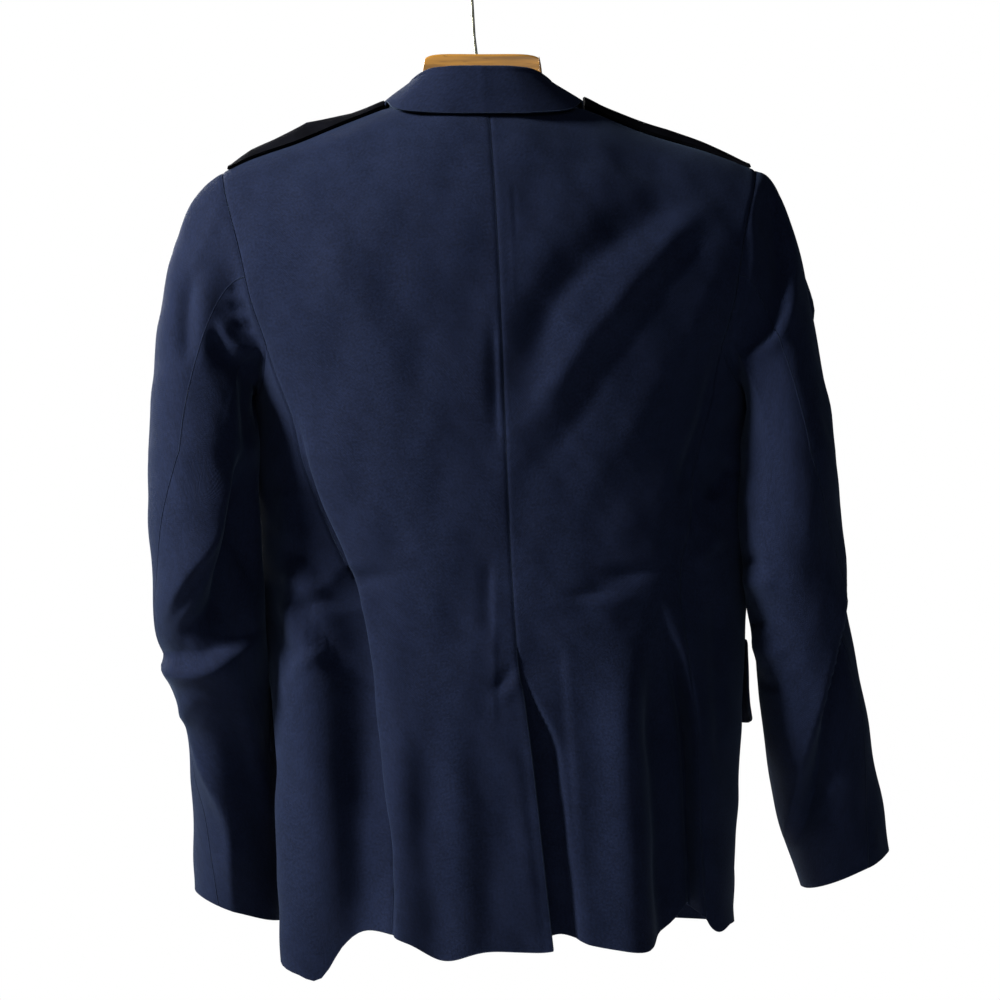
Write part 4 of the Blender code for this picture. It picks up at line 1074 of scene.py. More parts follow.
def side_points(side):
    """Outer points of a side panel, from the armhole to the hem."""

    def near(z):
        return back_edge(side, z) + side * gap_turn(side, z)

    def far(z):
        return front_edge(side, z) - side * gap_turn(side, z)

    share = share_of(cells(SIDE_WIDTH), crowd=0.7)
    top = underarm_line(share)
    rows = [hang(near, far, share, top, step) for step in share_of(cells(SKIRT_LENGTH), crowd=0.5)]
    turns, heights = np.array(rows).swapaxes(0, 1)
    return cloth_point(turns, heights), turns, heights


def roll_turn(side, z):
    """Turn of the front's centre edge: straight up to the break, then along the roll to the neck point."""
    neck_z = ridge_at(neck_point(side))
    offset = abs(neck_point(side) - float(sections.read("centre", neck_z / MM)))
    neck_turn = float(turn_at(side, offset, neck_z, True))
    past = side * (math.pi + OVERLAP / half_width(side, z))
    rise = np.clip((z - BREAK_HEIGHT) / (neck_z - BREAK_HEIGHT), 0, 1) ** ROLL_CURVE
    return past + (neck_turn - past) * rise


def tuck(side, turns, heights):
    """How far the right front lies inside the left one, where they overlap at the centre."""
    if side > 0:
        return np.zeros_like(heights)
    past_centre = ease((np.abs(turns) - (math.pi - TUCK_TURN)) / TUCK_TURN_FADE)
    return -(CLOTH + 2 * TRIM_GAP) * past_centre * ease((TUCK_TOP - heights) / TUCK_FADE)


def front_points(side):
    """Outer points of a front panel, from the lapel's roll and the front edge to the side seam."""

    def near(z):
        return roll_turn(side, z)

    def far(z):
        return front_edge(side, z) + side * gap_turn(side, z)

    top_x = neck_point(side) + (tip_of(side) - neck_point(side)) * share_of(cells(FRONT_WIDTH), crowd=0.6)
    turns, heights = panel_grid(side, near, far, top_x, front=True)
    return cloth_point(turns, heights, tuck(side, turns, heights)), turns, heights


def side_name(side):
    return "left" if side > 0 else "right"


# Each kind of panel: its points, and how deep the cloth sinks along its seams, in millimetres
PANELS = {
    "back": (back_points, {"first_column": 0.7, "last_column": 0.9, "last_row": 0.5}),
    "side": (side_points, {"first_column": 0.9, "last_column": 0.8, "last_row": 0.6}),
    "front": (front_points, {"last_column": 0.8, "last_row": 0.5}),
}


def make_panel(kind, side):
    shape, seams = PANELS[kind]
    points, turns, heights = shape(side)
    sew(f"{kind}_{side_name(side)}", points, crossing(folded_point, turns, heights), seams=seams)


# ---- Sleeves ----


def armhole_ring(side):
    """The seam line round the armhole, from the shoulder tip down the back, under the arm and up the front:
    its points, the body's normals there, the ways out of the hole, and how far the body's creases rise."""
    upper_rows, side_columns = UPPER_ROWS * ARM_FINE, SIDE_COLUMNS * ARM_FINE
    upper = 1 - (1 - np.arange(upper_rows, -1, -1) / upper_rows) ** ARMHOLE_STEP
    tip_z = ridge_at(tip_of(side))
    down = ARMHOLE_FOOT + (tip_z - ARMHOLE_FOOT) * upper
    share = np.linspace(0, 1, side_columns + 1)[1:-1]
    under = underarm_line(share)
    under_turn = back_edge(side, under) + (front_edge(side, under) - back_edge(side, under)) * share
    up = down[::-1][:-1]
    heights = np.concatenate([down, under, up])
    turns = np.concatenate([back_edge(side, down), under_turn, front_edge(side, up)])
    points = folded_point(turns, heights)
    points[0, 1] = 0.0
    normals = crossing(folded_point, turns, heights)
    edge = np.roll(points, -1, axis=0) - np.roll(points, 1, axis=0)
    leads = unit(-side * np.cross(normals, edge))
    return points, normals, leads, body_relief(turns, heights)


def closed_normals(points, side):
    """Normals of a grid whose last column meets its first."""
    across = np.roll(points, -1, axis=1) - np.roll(points, 1, axis=1)
    return unit(side * np.cross(np.gradient(points, axis=0), across))


def sleeve_points(side):
    """Rings of the whole sleeve tube, from the armhole to the cuff, with its creases."""
    table = Table(SLEEVE_COLUMNS, SLEEVE_LEFT if side > 0 else SLEEVE_RIGHT, "z", plain=("slope", "twist"))
    armhole, body_normals, leads, relief = armhole_ring(side)
    length = np.linalg.norm(np.roll(armhole, -1, axis=0) - armhole, axis=-1)
    walked = np.concatenate([[0], np.cumsum(length)])
    underarm = (UPPER_ROWS + SIDE_COLUMNS // 2) * ARM_FINE
    angle = np.interp(walked[:-1], [0, walked[underarm], walked[-1]], [0, math.pi, 2 * math.pi])

    def ring(z):
        row = {name: float(table.read(name, z)) for name in SLEEVE_COLUMNS[1:]}
        turned = angle - math.radians(row["twist"])
        x = side * row["across"] * np.cos(turned)
        y = row["y"] + row["deep"] * np.sin(turned)
        return np.stack([row["x"] + x, y, z * MM + row["slope"] * x], axis=-1)

    first = ring(table.at[-1])
    start = armhole + leads * (ARMHOLE_GAP + CAP_FLAT)
    reach = np.linalg.norm(first - start, axis=-1, keepdims=True)
    cap = dict(zip(CAP_COLUMNS, CAP_LEFT if side > 0 else CAP_RIGHT))
    out_of = leads * reach * cap["out_pull"]
    into = np.array([cap["spread"], 0, -1.0]) * reach * cap["down_pull"]
    rings = [armhole + leads * (ARMHOLE_GAP + CAP_FLAT * step) for step in CAP_RISE]
    for t in np.linspace(0, 1, CAP_STEPS + 1)[:-1] ** CAP_CROWD:
        rings.append(bridge(t, start, out_of, first, into))
    down = share_of(cells(SLEEVE_LENGTH), crowd=0.35, ends=(False, True))
    rings += [ring(z) for z in table.at[-1] + (table.at[0] - table.at[-1]) * down]
    points = np.array(rings)
    normals = closed_normals(points, side)
    normals[0] = body_normals
    x, z = points[..., 0], points[..., 2]
    behind, ahead = (ease(way * normals[..., 1] * SLEEVE_FACING + SLEEVE_BLEND) for way in (1, -1))
    back = crease_height(x, z, SLEEVE_BACK_CREASES, 1) * behind
    front = crease_height(x, z, SLEEVE_FRONT_CREASES, -1) * ahead
    own = back + front + waviness(x + points[..., 1], z, SLEEVE_WAVE * side)
    from_seam = lengths_along(points, 0)
    lift = relief * (1 - ease(from_seam / BODY_CARRY)) + own * ease(from_seam / SLEEVE_START)
    return points + normals * lift[..., None], normals


SLEEVE_SEAMS = {"first_column": 0.1, "last_column": 0.1, "first_row": 0.8}  # how deep, in millimetres


def make_sleeve(side):
    """Two pieces: the under one runs from the back seam to the front seam, the upper one round the rest."""
    points, normals = sleeve_points(side)
    count = points.shape[1]
    back_seam, front_seam = BACK_SEAM_AT * ARM_FINE, FRONT_SEAM_AT * ARM_FINE
    spans = {
        "under": list(range(back_seam, front_seam + 1)),
        "upper": list(range(front_seam, count)) + list(range(back_seam + 1)),
    }
    for part, columns in spans.items():
        piece = points[:, columns].copy()
        for edge, beside in ((0, 1), (-1, -2)):
            piece[:, edge] += unit(piece[:, beside] - piece[:, edge]) * SEAM_GAP / 2
        sew(f"sleeve_{part}_{side_name(side)}", piece, normals[:, columns], seams=SLEEVE_SEAMS)


# ---- Collar, lapels, flaps and straps ----


def seam_station(side, at):
    """Where the collar is sewn on: 0 at the centre back, 1 at the neck point, 2 at its front end."""
    centre_top = float(sections.read("centre", NECK_BACK))
    if at <= 1:
        x = centre_top + (neck_point(side) - centre_top) * at
        z = float(neckline(np.array(x)))
        turn = turn_at(side, abs(x - float(sections.read("centre", z / MM))), z)
    else:
        z = ridge_at(neck_point(side)) - GORGE_DROP * (at - 1)
        turn = roll_turn(side, z)
    return folded_point(turn, z) + np.array([0, 0, 3 * TRIM_GAP if at <= 1 else 0])


def collar_profile(side, at):
    """Section of the collar: up the stand, over the fold and down the fall."""
    row = {name: float(collar_table.read(name, at)) for name in COLLAR_COLUMNS[1:]}
    seam = seam_station(side, at) - np.array([side * min(at, 1) * STAND_INSET, 0, 0])
    roll = np.array([ROLL_CENTRE + side * row["roll_out"], row["roll_y"], row["roll_z"]])
    fall = np.array([NECK_CENTRE + side * row["fall_out"], row["fall_y"], row["fall_z"]])
    off = fall - roll
    off[2] = 0
    off /= np.linalg.norm(off)
    middle = roll - np.array([0, 0, COLLAR_FOLD])
    up = np.array([0, 0, 1.0])
    inner, outer = middle - off * COLLAR_FOLD, middle + off * COLLAR_FOLD
    points = [seam + (inner - seam) * share for share in np.linspace(0, 1, COLLAR_STAND_STEPS)]
    for turned in np.radians(np.linspace(COLLAR_FOLD_FROM, COLLAR_FOLD_TO, COLLAR_FOLD_STEPS)):
        points.append(middle + (off * math.cos(turned) + up * math.sin(turned)) * COLLAR_FOLD)
    belly = off * COLLAR_BELLY
    for share in share_of(COLLAR_FALL_STEPS, crowd=0.5, ends=(False, True)):
        points.append(outer + (fall - outer) * share + belly * math.sin(math.pi * share))
    return points


def make_collar():
    """One piece, folded over from the stand to the fall."""
    ats = np.linspace(0, 2, COLLAR_STATIONS + 1)
    left, right = ([collar_profile(side, at) for at in ats] for side in (1, -1))
    points = np.array(left[::-1] + right[1:])
    sew("collar", points, grid_normals(points))


def weave(cells_down, cells_across, crowd_down, crowd_across):
    """Shares down and across a small piece, ready to be combined into a grid."""
    return share_of(cells_down, crowd_down)[:, None], share_of(cells_across, crowd_across)[None, :]


def lay_on(kind, side, turn, z, out, seams=None):
    """A piece that lies on a front panel, out over it."""
    turn, z, out = np.broadcast_arrays(turn, z, out)
    node = f"{kind}_{side_name(side)}"
    rests_on = [f"cloth_front_{side_name(side)}"]
    sew(node, cloth_point(turn, z, out), crossing(folded_point, turn, z), seams)


def make_lapel(side):
    """Turned back from the roll, lying on the front panel."""
    rows, columns = weave(*LAPEL_GRID)
    foot = BREAK_HEIGHT + (LAPEL_FOOT if side > 0 else LAPEL_FOOT_UNDER)
    top = LAPEL_TOP + (LAPEL_POINT - LAPEL_TOP) * columns
    z = foot + (top - foot) * rows
    width = LAPEL_WIDTH * (LAPEL_FOOT_WIDTH + (1 - LAPEL_FOOT_WIDTH) * rows**LAPEL_CURVE) * columns
    turn = roll_turn(side, z) - side * (width + LAPEL_INSET) / half_width(side, z)
    out = CLOTH + TRIM_GAP + LAPEL_ROLL * (1 - columns) ** 3 + LAPEL_EDGE * columns**3
    lay_on("lapel", side, turn, z, out)


def make_flap(flap):
    """Hip pocket flap, sewn along its top and standing off at its foot."""
    side = flap["side"]
    rows, columns = weave(*FLAP_GRID)
    corner = np.abs(columns * 2 - 1) ** FLAP_SQUARE * FLAP_CORNER
    z = flap["top_z"] * MM - (flap["drop"] * MM - corner) * (1 - rows)
    turn = side * np.radians(flap["back_turn"] + (flap["front_turn"] - flap["back_turn"]) * columns)
    out = CLOTH + FLAP_GAP + flap["lift"] * MM * (1 - rows) ** FLAP_CURVE
    lay_on("pocket_flap", side, turn, z, out, FLAP_SEAMS)


def shoulder_drop(x, y):
    """How far the shoulder has fallen away from its top line, at y in front of or behind it."""
    z = ridge(x)
    front = y < 0
    square = np.where(front, ROUND_FRONT, ROUND_BACK)
    offset = np.abs(x - sections.read("centre", z / MM))
    half = np.where(x > 0, sections.read("left", z / MM), sections.read("right", z / MM))
    depth = np.where(front, sections.read("front", z / MM), sections.read("back", z / MM))
    share = np.clip(1 - (offset / half) ** square, 0, 1) ** (1 / square)
    rolled = np.clip(np.abs(y) / (depth * share), 0, 1) ** (1 / ROLL_POWER)
    return SHOULDER_ROLL * (1 - np.sqrt(1 - rolled))


def make_strap(side):
    """From the armhole seam to the collar: its edges rest on the shoulder, and its middle arches."""
    start, end = tip_of(side) - side * STRAP_TIP_INSET, neck_point(side) + side * STRAP_NECK_INSET
    share, across = weave(*STRAP_GRID)
    x = start + (end - start) * share + 0 * across
    narrow = 1 - STRAP_POINT * np.clip((share - STRAP_POINT_FROM) / (1 - STRAP_POINT_FROM), 0, 1) ** 2
    y = STRAP_BACK_EDGE - STRAP_WIDTH / 2 + STRAP_WIDTH * (0.5 - across) * narrow
    rest = ridge(x) - np.minimum(shoulder_drop(x, y), STRAP_MOST_DROP)
    edge = rest[:, :1] + (rest[:, -1:] - rest[:, :1]) * across
    arch = named(STRAP_COLUMNS, STRAP_LEFT if side > 0 else STRAP_RIGHT)
    height = np.interp(share, [row["from_tip"] for row in arch], [row["arch"] for row in arch]) * MM
    bow = 4 * across * (1 - across)
    z = np.maximum(rest, edge + (height + (rest[:, :1] - rest[:, -1:]) / 2) * bow) + STRAP_THICK + STRAP_GAP
    points = np.stack([x, y, z], axis=-1)
    node = f"shoulder_strap_{side_name(side)}"
    sew(node, points, np.array([0, 0, 1.0]), wall=STRAP_THICK, slot="strap_wool")


# ---- Finishes ----


class Value:
    """A shader value that Python's + - and * work on."""

    def __init__(self, finish, socket):
        self.finish = finish
        self.socket = socket


def arithmetic(operation, swapped):
    """The method of Value that adds a math node, with the other value first where they are swapped."""

    def method(self, other):
        pair = (other, self) if swapped else (self, other)
        return self.finish.maths(operation, *pair)

    return method


for word, operation in (("add", "ADD"), ("sub", "SUBTRACT"), ("mul", "MULTIPLY")):
    setattr(Value, f"__{word}__", arithmetic(operation, False))
    setattr(Value, f"__r{word}__", arithmetic(operation, True))


class Finish:
    """A material, and one method that adds any node to it."""

    def __init__(self, name):
        self.material = bpy.data.materials.new(name)
        self.material.use_nodes = True
        self.tree = self.material.node_tree
        self.surface = self.tree.nodes["Principled BSDF"]

    def node(self, kind, settings, sockets, output=0):
        made = self.tree.nodes.new(kind)
        for name, value in settings.items():
            setattr(made, name, value)
        for key, value in sockets.items():
            self.put(made.inputs[key], value)
        return Value(self, made.outputs[output])

    def put(self, socket, value):
        if isinstance(value, Value):
            self.tree.links.new(value.socket, socket)
        else:
            socket.default_value = value

    def maths(self, operation, *values):
        """A math node on values and plain numbers."""
        return self.node("ShaderNodeMath", {"operation": operation}, dict(enumerate(values)))

    def cloth_place(self):
        """Place on the cloth, in metres along its weave."""
        return self.node("ShaderNodeUVMap", {"uv_map": "cloth"}, {})

    def solid_place(self, scale=(1, 1, 1)):
        """Place in the piece, stretched by scale."""
        place = self.node("ShaderNodeTexCoord", {}, {}, "Object")
        return self.node("ShaderNodeMapping", {}, {"Vector": place, "Scale": scale})

    def noise(self, vector, scale, detail=2.0, roughness=0.5):
        sockets = {"Vector": vector, "Scale": scale, "Detail": detail, "Roughness": roughness}
        return self.node("ShaderNodeTexNoise", {}, sockets)

    def between(self, value, low, high):
        """0 below low, 1 above high, and smooth between."""
        sockets = {"Value": value, "From Min": low, "From Max": high}
        return self.node("ShaderNodeMapRange", {"interpolation_type": "SMOOTHSTEP"}, sockets)

    def mix(self, factor, first, second):
        """A colour between two. The mix node's colour sockets are found by their numbers."""
        return self.node("ShaderNodeMix", {"data_type": "RGBA"}, {0: factor, 6: first, 7: second}, 2)

    def bump(self, height, distance, strength):
        sockets = {"Height": height, "Distance": distance, "Strength": strength}
        return self.node("ShaderNodeBump", {}, sockets)

    def set(self, **sockets):
        for name, value in sockets.items():
            self.put(self.surface.inputs[name.replace("_", " ")], value)
        return self.material


def solid(colour, gain=1.0):
    """The colour, made paler or deeper by gain, with full alpha."""
    return tuple(min(channel * gain, 1.0) for channel in colour[:3]) + (1.0,)


def wool_finish(name, colour):
    """Fine serge: a diagonal wale, a weft across it, flecks of lighter fibre and a soft nap."""
    finish = Finish(name)
    flat = finish.cloth_place()
    u, v = (finish.node("ShaderNodeSeparateXYZ", {}, {0: flat}, part) for part in (0, 1))
    pitch = 2 * math.pi / (cloth_settings().wale * MM)
    parts = {
        "wale": finish.maths("SINE", (u * WALE_ALONG + v * WALE_ACROSS) * pitch),
        "weft": finish.maths("SINE", (v * WALE_ALONG - u * WALE_ACROSS) * (pitch * WEFT_PITCH)),
    }
    for row in named(NOISE_COLUMNS, WOOL_NOISES):
        parts[row["name"]] = finish.noise(flat, row["scale"], row["detail"], row["roughness"])
    tufts = 0.35 + 0.65 * finish.between(parts["fibre"], 0.35, 0.7)
    flecks = finish.between(parts["speck"], 0.60, 0.74) * tufts
    shade = finish.between(sum(parts[name] * share for name, share in WOOL_SHADE.items()), 0.36, 0.64)
    tone = finish.mix(shade, solid(colour, WOOL_DEEP), solid(colour, WOOL_PALE))
    light = solid([channel * 0.6 + 0.4 * FLECK_GREY for channel in colour])
    height = sum(parts[name] * share for name, share in WOOL_HEIGHT.items())
    return finish.set(
        Base_Color=finish.mix(flecks * cloth_settings().fleck, tone, light),
        Roughness=0.86 - flecks * 0.1,
        Sheen_Weight=cloth_settings().sheen,
        Sheen_Roughness=0.45,
        Sheen_Tint=(0.45, 0.66, 1.0, 1.0),
        Specular_IOR_Level=0.03,
        Normal=finish.bump(height, WEAVE_DEPTH, 0.7),
    )


def strap_finish(name, colour):
    """Black cloth with a tight plain weave."""
    finish = Finish(name)
    flat = finish.cloth_place()
    fibre = finish.noise(flat, 1300.0, 2.0, 0.6)
    mottle = finish.noise(flat, 60.0, 2.0, 0.5)
    base = finish.mix(finish.between(mottle, 0.35, 0.65), solid(colour, 0.8), solid(colour, 1.4))
    return finish.set(
        Base_Color=base,
        Roughness=0.9 - fibre * 0.1,
        Specular_IOR_Level=0.01,
        Normal=finish.bump(fibre + mottle * 0.6, WEAVE_DEPTH, 0.6),
    )


def wood_finish(name, colour):
    """Varnished beech: long grain, short darker flecks, and a clear coat over it."""
    finish = Finish(name)
    bands = finish.noise(finish.solid_place((9.0, 130.0, 150.0)), 1.0, 4.0, 0.55)
    pores = finish.noise(finish.solid_place((60.0, 700.0, 700.0)), 1.0, 2.0, 0.6)
    tone = finish.mix(finish.between(bands, 0.34, 0.66), solid(colour, 0.55), solid(colour, 1.25))
    base = finish.mix(finish.between(pores, 0.58, 0.72) * 0.5, tone, solid(colour, 0.35))
    return finish.set(
        Base_Color=base,
        Roughness=0.42 - bands * 0.1,
        Coat_Weight=0.12,
        Coat_Roughness=0.15,
        Normal=finish.bump(bands * 0.5 + pores, 0.00012, 0.5),
    )


def button_finish(name, colour):
    """Dark metal, a little cloudy, under a clear coat."""
    finish = Finish(name)
    cloudy = finish.noise(finish.solid_place(), 260.0, 3.0, 0.6)
    base = finish.mix(finish.between(cloudy, 0.4, 0.65), solid(colour, 0.8), solid(colour, 1.8))
    return finish.set(
        Base_Color=base,
        Roughness=0.28 + cloudy * 0.16,
        Coat_Weight=0.3,
        Coat_Roughness=0.2,
        Normal=finish.bump(cloudy, 0.0001, 0.3),
    )


def steel_finish(name, colour):
    """Drawn wire, its fine lines running up it."""
    finish = Finish(name)
    drawn = finish.noise(finish.solid_place((900, 900, 60)), 1.0)
    return finish.set(
        Base_Color=finish.mix(drawn, solid(colour, 0.85), solid(colour, 1.15)),
        Metallic=1.0,
        Roughness=0.2 + drawn * 0.14,
        Normal=finish.bump(drawn, 0.00005, 0.3),
    )


def finish_named(name):
    return bpy.data.materials[name]


# ---- Hard pieces, modelled by hand ----


def start_fresh():
    """Object mode with nothing selected."""
    if bpy.context.object and bpy.context.object.mode != "OBJECT":
        bpy.ops.object.mode_set(mode="OBJECT")
    bpy.ops.object.select_all(action="DESELECT")


def settle(piece, name, material, node):
    """Places go into the mesh, and the piece stands for its solid where it has one."""
    bpy.ops.object.shade_smooth()
    piece.name = piece.data.name = name
    bpy.ops.object.transform_apply(location=True, rotation=True, scale=True)
    piece.data.materials.clear()
    piece.data.materials.append(material)
    if node:
        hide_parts(node)
    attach(piece, "root")


def round_edges(piece, width, segments, angle):
    """Bevel the edges that are sharper than the angle, in degrees."""
    rounded = piece.modifiers.new("rounded", "BEVEL")
    rounded.width = width
    rounded.segments = segments
    rounded.limit_method = "ANGLE"
    rounded.angle_limit = math.radians(angle)
    bpy.ops.object.modifier_apply(modifier="rounded")


def make_hanger(material):
    """A bar drawn out section by section, with its edges rounded over."""
    start_fresh()
    rows = named(HANGER_COLUMNS, HANGER)
    for row in rows:
        row["middle"] = (row["top"] + row["bottom"]) / 2 * MM
        row["tall"] = row["top"] - row["bottom"]
    first = rows[0]
    place, upright = (first["x"] * MM, 0, first["middle"]), (0, math.radians(-90), 0)
    bpy.ops.mesh.primitive_plane_add(size=1, location=place, rotation=upright)
    piece = bpy.context.object
    piece.scale = (first["tall"] * MM, 2 * first["thick"] * MM, 1)
    bpy.ops.object.transform_apply(location=True, rotation=True, scale=True)
    bpy.ops.object.mode_set(mode="EDIT")
    bpy.ops.mesh.select_all(action="SELECT")
    for before, row in zip(rows, rows[1:]):
        move = ((row["x"] - before["x"]) * MM, 0, row["middle"] - before["middle"])
        bpy.ops.mesh.extrude_region_move(TRANSFORM_OT_translate={"value": move})
        grown = (1, row["thick"] / before["thick"], row["tall"] / before["tall"])
        bpy.ops.transform.resize(value=grown, center_override=(row["x"] * MM, 0, row["middle"]))
    bpy.ops.mesh.select_all(action="SELECT")
    bpy.ops.mesh.normals_make_consistent(inside=False)
    bpy.ops.object.mode_set(mode="OBJECT")
    round_edges(piece, HANGER_ROUND, segments=4, angle=50)
    smooth = piece.modifiers.new("smooth", "SUBSURF")
    smooth.levels = smooth.render_levels = 2
    bpy.ops.object.modifier_apply(modifier="smooth")
    settle(piece, "hanger_wood", material, "hanger")


def hook_route():
    """The wire's middle line: the shank out of the wood, then the bend over the rail."""
    middle_z = HOOK_WIRE - HOOK_BEND
    foot = WOOD_TOP + TRIM_GAP - HANGER_SADDLE
    shank_top = middle_z - HOOK_BEND * HOOK_SHANK
    route = [(0, foot), (HOOK_LEAN / 2, foot + HOOK_KNEE), (HOOK_LEAN, shank_top)]
    for share in np.linspace(0, 1, HOOK_SHANK_STEPS)[1:]:
        across = HOOK_LEAN + (HOOK_BEND - HOOK_LEAN) * float(ease(share))
        route.append((across, shank_top + (middle_z - shank_top) * share))
    for step in range(1, HOOK_STEPS + 1):
        angle = math.radians(HOOK_TURN * step / HOOK_STEPS)
        route.append((HOOK_BEND * math.cos(angle), middle_z + HOOK_BEND * math.sin(angle)))
    return route


def make_hook(material):
    """A steel wire along the hook's route."""
    start_fresh()
    curve = bpy.data.curves.new("hook_wire", "CURVE")
    curve.dimensions = "3D"
    curve.bevel_depth = HOOK_WIRE
    curve.bevel_resolution = 5
    curve.use_fill_caps = True
    route = hook_route()
    spline = curve.splines.new("POLY")
    spline.points.add(len(route) - 1)
    for point, (x, z) in zip(spline.points, route):
        point.co = (x, 0, z, 1)
    piece = bpy.data.objects.new("hook_wire", curve)
    bpy.context.collection.objects.link(piece)
    piece.select_set(True)
    bpy.context.view_layer.objects.active = piece
    bpy.ops.object.convert(target="MESH")
    settle(bpy.context.object, "hook_steel", material, "hanger_hook")


def button_place(number):
    """Middle and facing of a button on the closed front."""
    z = np.array(BREAK_HEIGHT - FIRST_BUTTON - number * BUTTON_STEP)
    turn = np.array(math.pi)
    normal = crossing(folded_point, turn, z)
    dip = BREAK_DIP if number == 0 else 0.0
    out = np.array(BUTTON_THICK / 2 + BUTTON_GAP - dip)
    return Vector(cloth_point(turn, z, out)), Vector(normal)


def make_button(number, material):
    """A turned button: a rim, a dished face and a low dome in it."""
    start_fresh()
    bpy.ops.mesh.primitive_cylinder_add(vertices=48, radius=BUTTON_RADIUS, depth=BUTTON_THICK)
    piece = bpy.context.object
    bpy.ops.object.mode_set(mode="EDIT")
    bpy.ops.mesh.select_mode(type="FACE")
    bpy.ops.mesh.select_all(action="DESELECT")
    bpy.ops.object.mode_set(mode="OBJECT")
    top = max(piece.data.polygons, key=lambda face: face.center.z)
    top.select = True
    bpy.ops.object.mode_set(mode="EDIT")
    for ring in named(BUTTON_COLUMNS, BUTTON_RINGS):
        bpy.ops.mesh.inset(thickness=ring["inset"] * MM)
        bpy.ops.transform.translate(value=(0, 0, ring["rise"] * MM))
    bpy.ops.object.mode_set(mode="OBJECT")
    round_edges(piece, BUTTON_EDGE, segments=3, angle=40)
    piece.location, facing = button_place(number)
    piece.rotation_euler = facing.to_track_quat("Z", "Y").to_euler()
    settle(piece, f"button_{number + 1}", material, f"front_button_{number + 1}")


def make_buttonhole(number, material):
    """The worked edge of a buttonhole, from the button towards the front edge."""
    start_fresh()
    place, facing = button_place(number)
    bpy.ops.mesh.primitive_torus_add(
        major_segments=40, minor_segments=8, major_radius=HOLE_RADIUS, minor_radius=HOLE_THREAD
    )
    piece = bpy.context.object
    for corner in piece.data.vertices:
        corner.co.x += HOLE_HALF if corner.co.x > 0 else -HOLE_HALF
        corner.co.z *= HOLE_FLAT
    piece.rotation_euler = facing.to_track_quat("Z", "Y").to_euler()
    piece.location = place - facing * (BUTTON_THICK / 2 + HOLE_DEEP) + Vector((HOLE_SHIFT, 0, 0))
    settle(piece, f"buttonhole_{number + 1}", material, None)


# ---- Settings, operators and panel ----


def amount(name, description, default, low, high=1000.0, unit="NONE"):
    return FloatProperty(name=name, description=description, default=default, min=low, max=high, unit=unit)


def colour_of(name, default):
    words = f"Colour of the {name}"
    return FloatVectorProperty(name=name, description=words, subtype="COLOR", default=default)


class JacketClothSettings(PropertyGroup):
    cell: amount("Cell", "Size of the cloth's faces, in millimetres", 3.2, 1.5)
    wale: amount("Wale", "Pitch of the twill, in millimetres", 1.1, 0.3)
    fleck: amount("Fleck", "Strength of the lighter fibres", 0.35, 0, 1)
    sheen: amount("Sheen", "Softness of the nap against the light", 0.03, 0, 1)
    colour: colour_of("wool", (0.0030, 0.0048, 0.0132))
    strap: colour_of("shoulder straps", (0.0012, 0.0013, 0.0020))


class JacketHardSettings(PropertyGroup):
    wood: colour_of("hanger's wood", (0.17, 0.078, 0.009))
    steel: colour_of("hook", (0.14, 0.14, 0.11))
    button: colour_of("buttons", (0.005, 0.0055, 0.008))
    buttons: IntProperty(
        name="Buttons", description="How many close the front", default=BUTTON_COUNT, min=1, max=BUTTON_COUNT
    )


class JacketStageSettings(PropertyGroup):
    floor_drop: amount("Floor", "How far the floor lies below the hem", 1.1, 0, unit="LENGTH")
    key: amount("Key light", "Power of the light from the wearer's left rear", 262.0, 0, unit="POWER")
    fill: amount("Fill light", "Power of the soft light from behind", 16.0, 0, unit="POWER")
    sky: amount("Room light", "Strength of the light from all round", 0.06, 0)
    camera_away: amount("Camera distance", "From the hook's plane", 2.0, 0.5, unit="LENGTH")


class JACKET_OT_finishes(Operator):
    """Make the wool, strap cloth, wood, steel and button finishes"""

    bl_idname = "jacket.finishes"
    bl_label = "Finishes"

    def execute(self, context):
        cloth, hard = context.scene.jacket_cloth, context.scene.jacket_hard
        wool_finish("jacket_wool", tuple(cloth.colour))
        strap_finish("jacket_strap_cloth", tuple(cloth.strap))
        wood_finish("jacket_hanger_wood", tuple(hard.wood))
        steel_finish("jacket_hook_steel", tuple(hard.steel))
        button_finish("jacket_button", tuple(hard.button))
        return {"FINISHED"}


class JACKET_OT_body(Operator):
    """Cut the back, side and front panels, with their folds, creases and seams"""

    bl_idname = "jacket.body"
    bl_label = "Body Panels"

    def execute(self, context):
        for side in (1, -1):
            for kind in PANELS:
                make_panel(kind, side)
        return {"FINISHED"}


class JACKET_OT_sleeves(Operator):
    """Cut the two-piece sleeves, with the fold at the elbow and the pressed edge below it"""

    bl_idname = "jacket.sleeves"
    bl_label = "Sleeves"

    def execute(self, context):
        for side in (1, -1):
            make_sleeve(side)
        return {"FINISHED"}


class JACKET_OT_collar(Operator):
    """Turn down the collar and lay back the lapels"""

    bl_idname = "jacket.collar"
    bl_label = "Collar and Lapels"

    def execute(self, context):
        make_collar()
        for side in (1, -1):
            make_lapel(side)
        return {"FINISHED"}


class JACKET_OT_flaps(Operator):
    """Sew on the hip pocket flaps"""

    bl_idname = "jacket.flaps"
    bl_label = "Pocket Flaps"

    def execute(self, context):
        for flap in named(FLAP_COLUMNS, FLAPS):
            make_flap(flap)
        return {"FINISHED"}


class JACKET_OT_straps(Operator):
    """Lay the shoulder straps over the shoulders"""

    bl_idname = "jacket.straps"
    bl_label = "Shoulder Straps"

    def execute(self, context):
        for side in (1, -1):
            make_strap(side)
        return {"FINISHED"}


class JACKET_OT_buttons(Operator):
    """Turn the front buttons and work their buttonholes"""

    bl_idname = "jacket.buttons"
    bl_label = "Buttons"

    def execute(self, context):
        for number in range(context.scene.jacket_hard.buttons):
            make_button(number, finish_named("jacket_button"))
            make_buttonhole(number, finish_named("jacket_strap_cloth"))
        return {"FINISHED"}


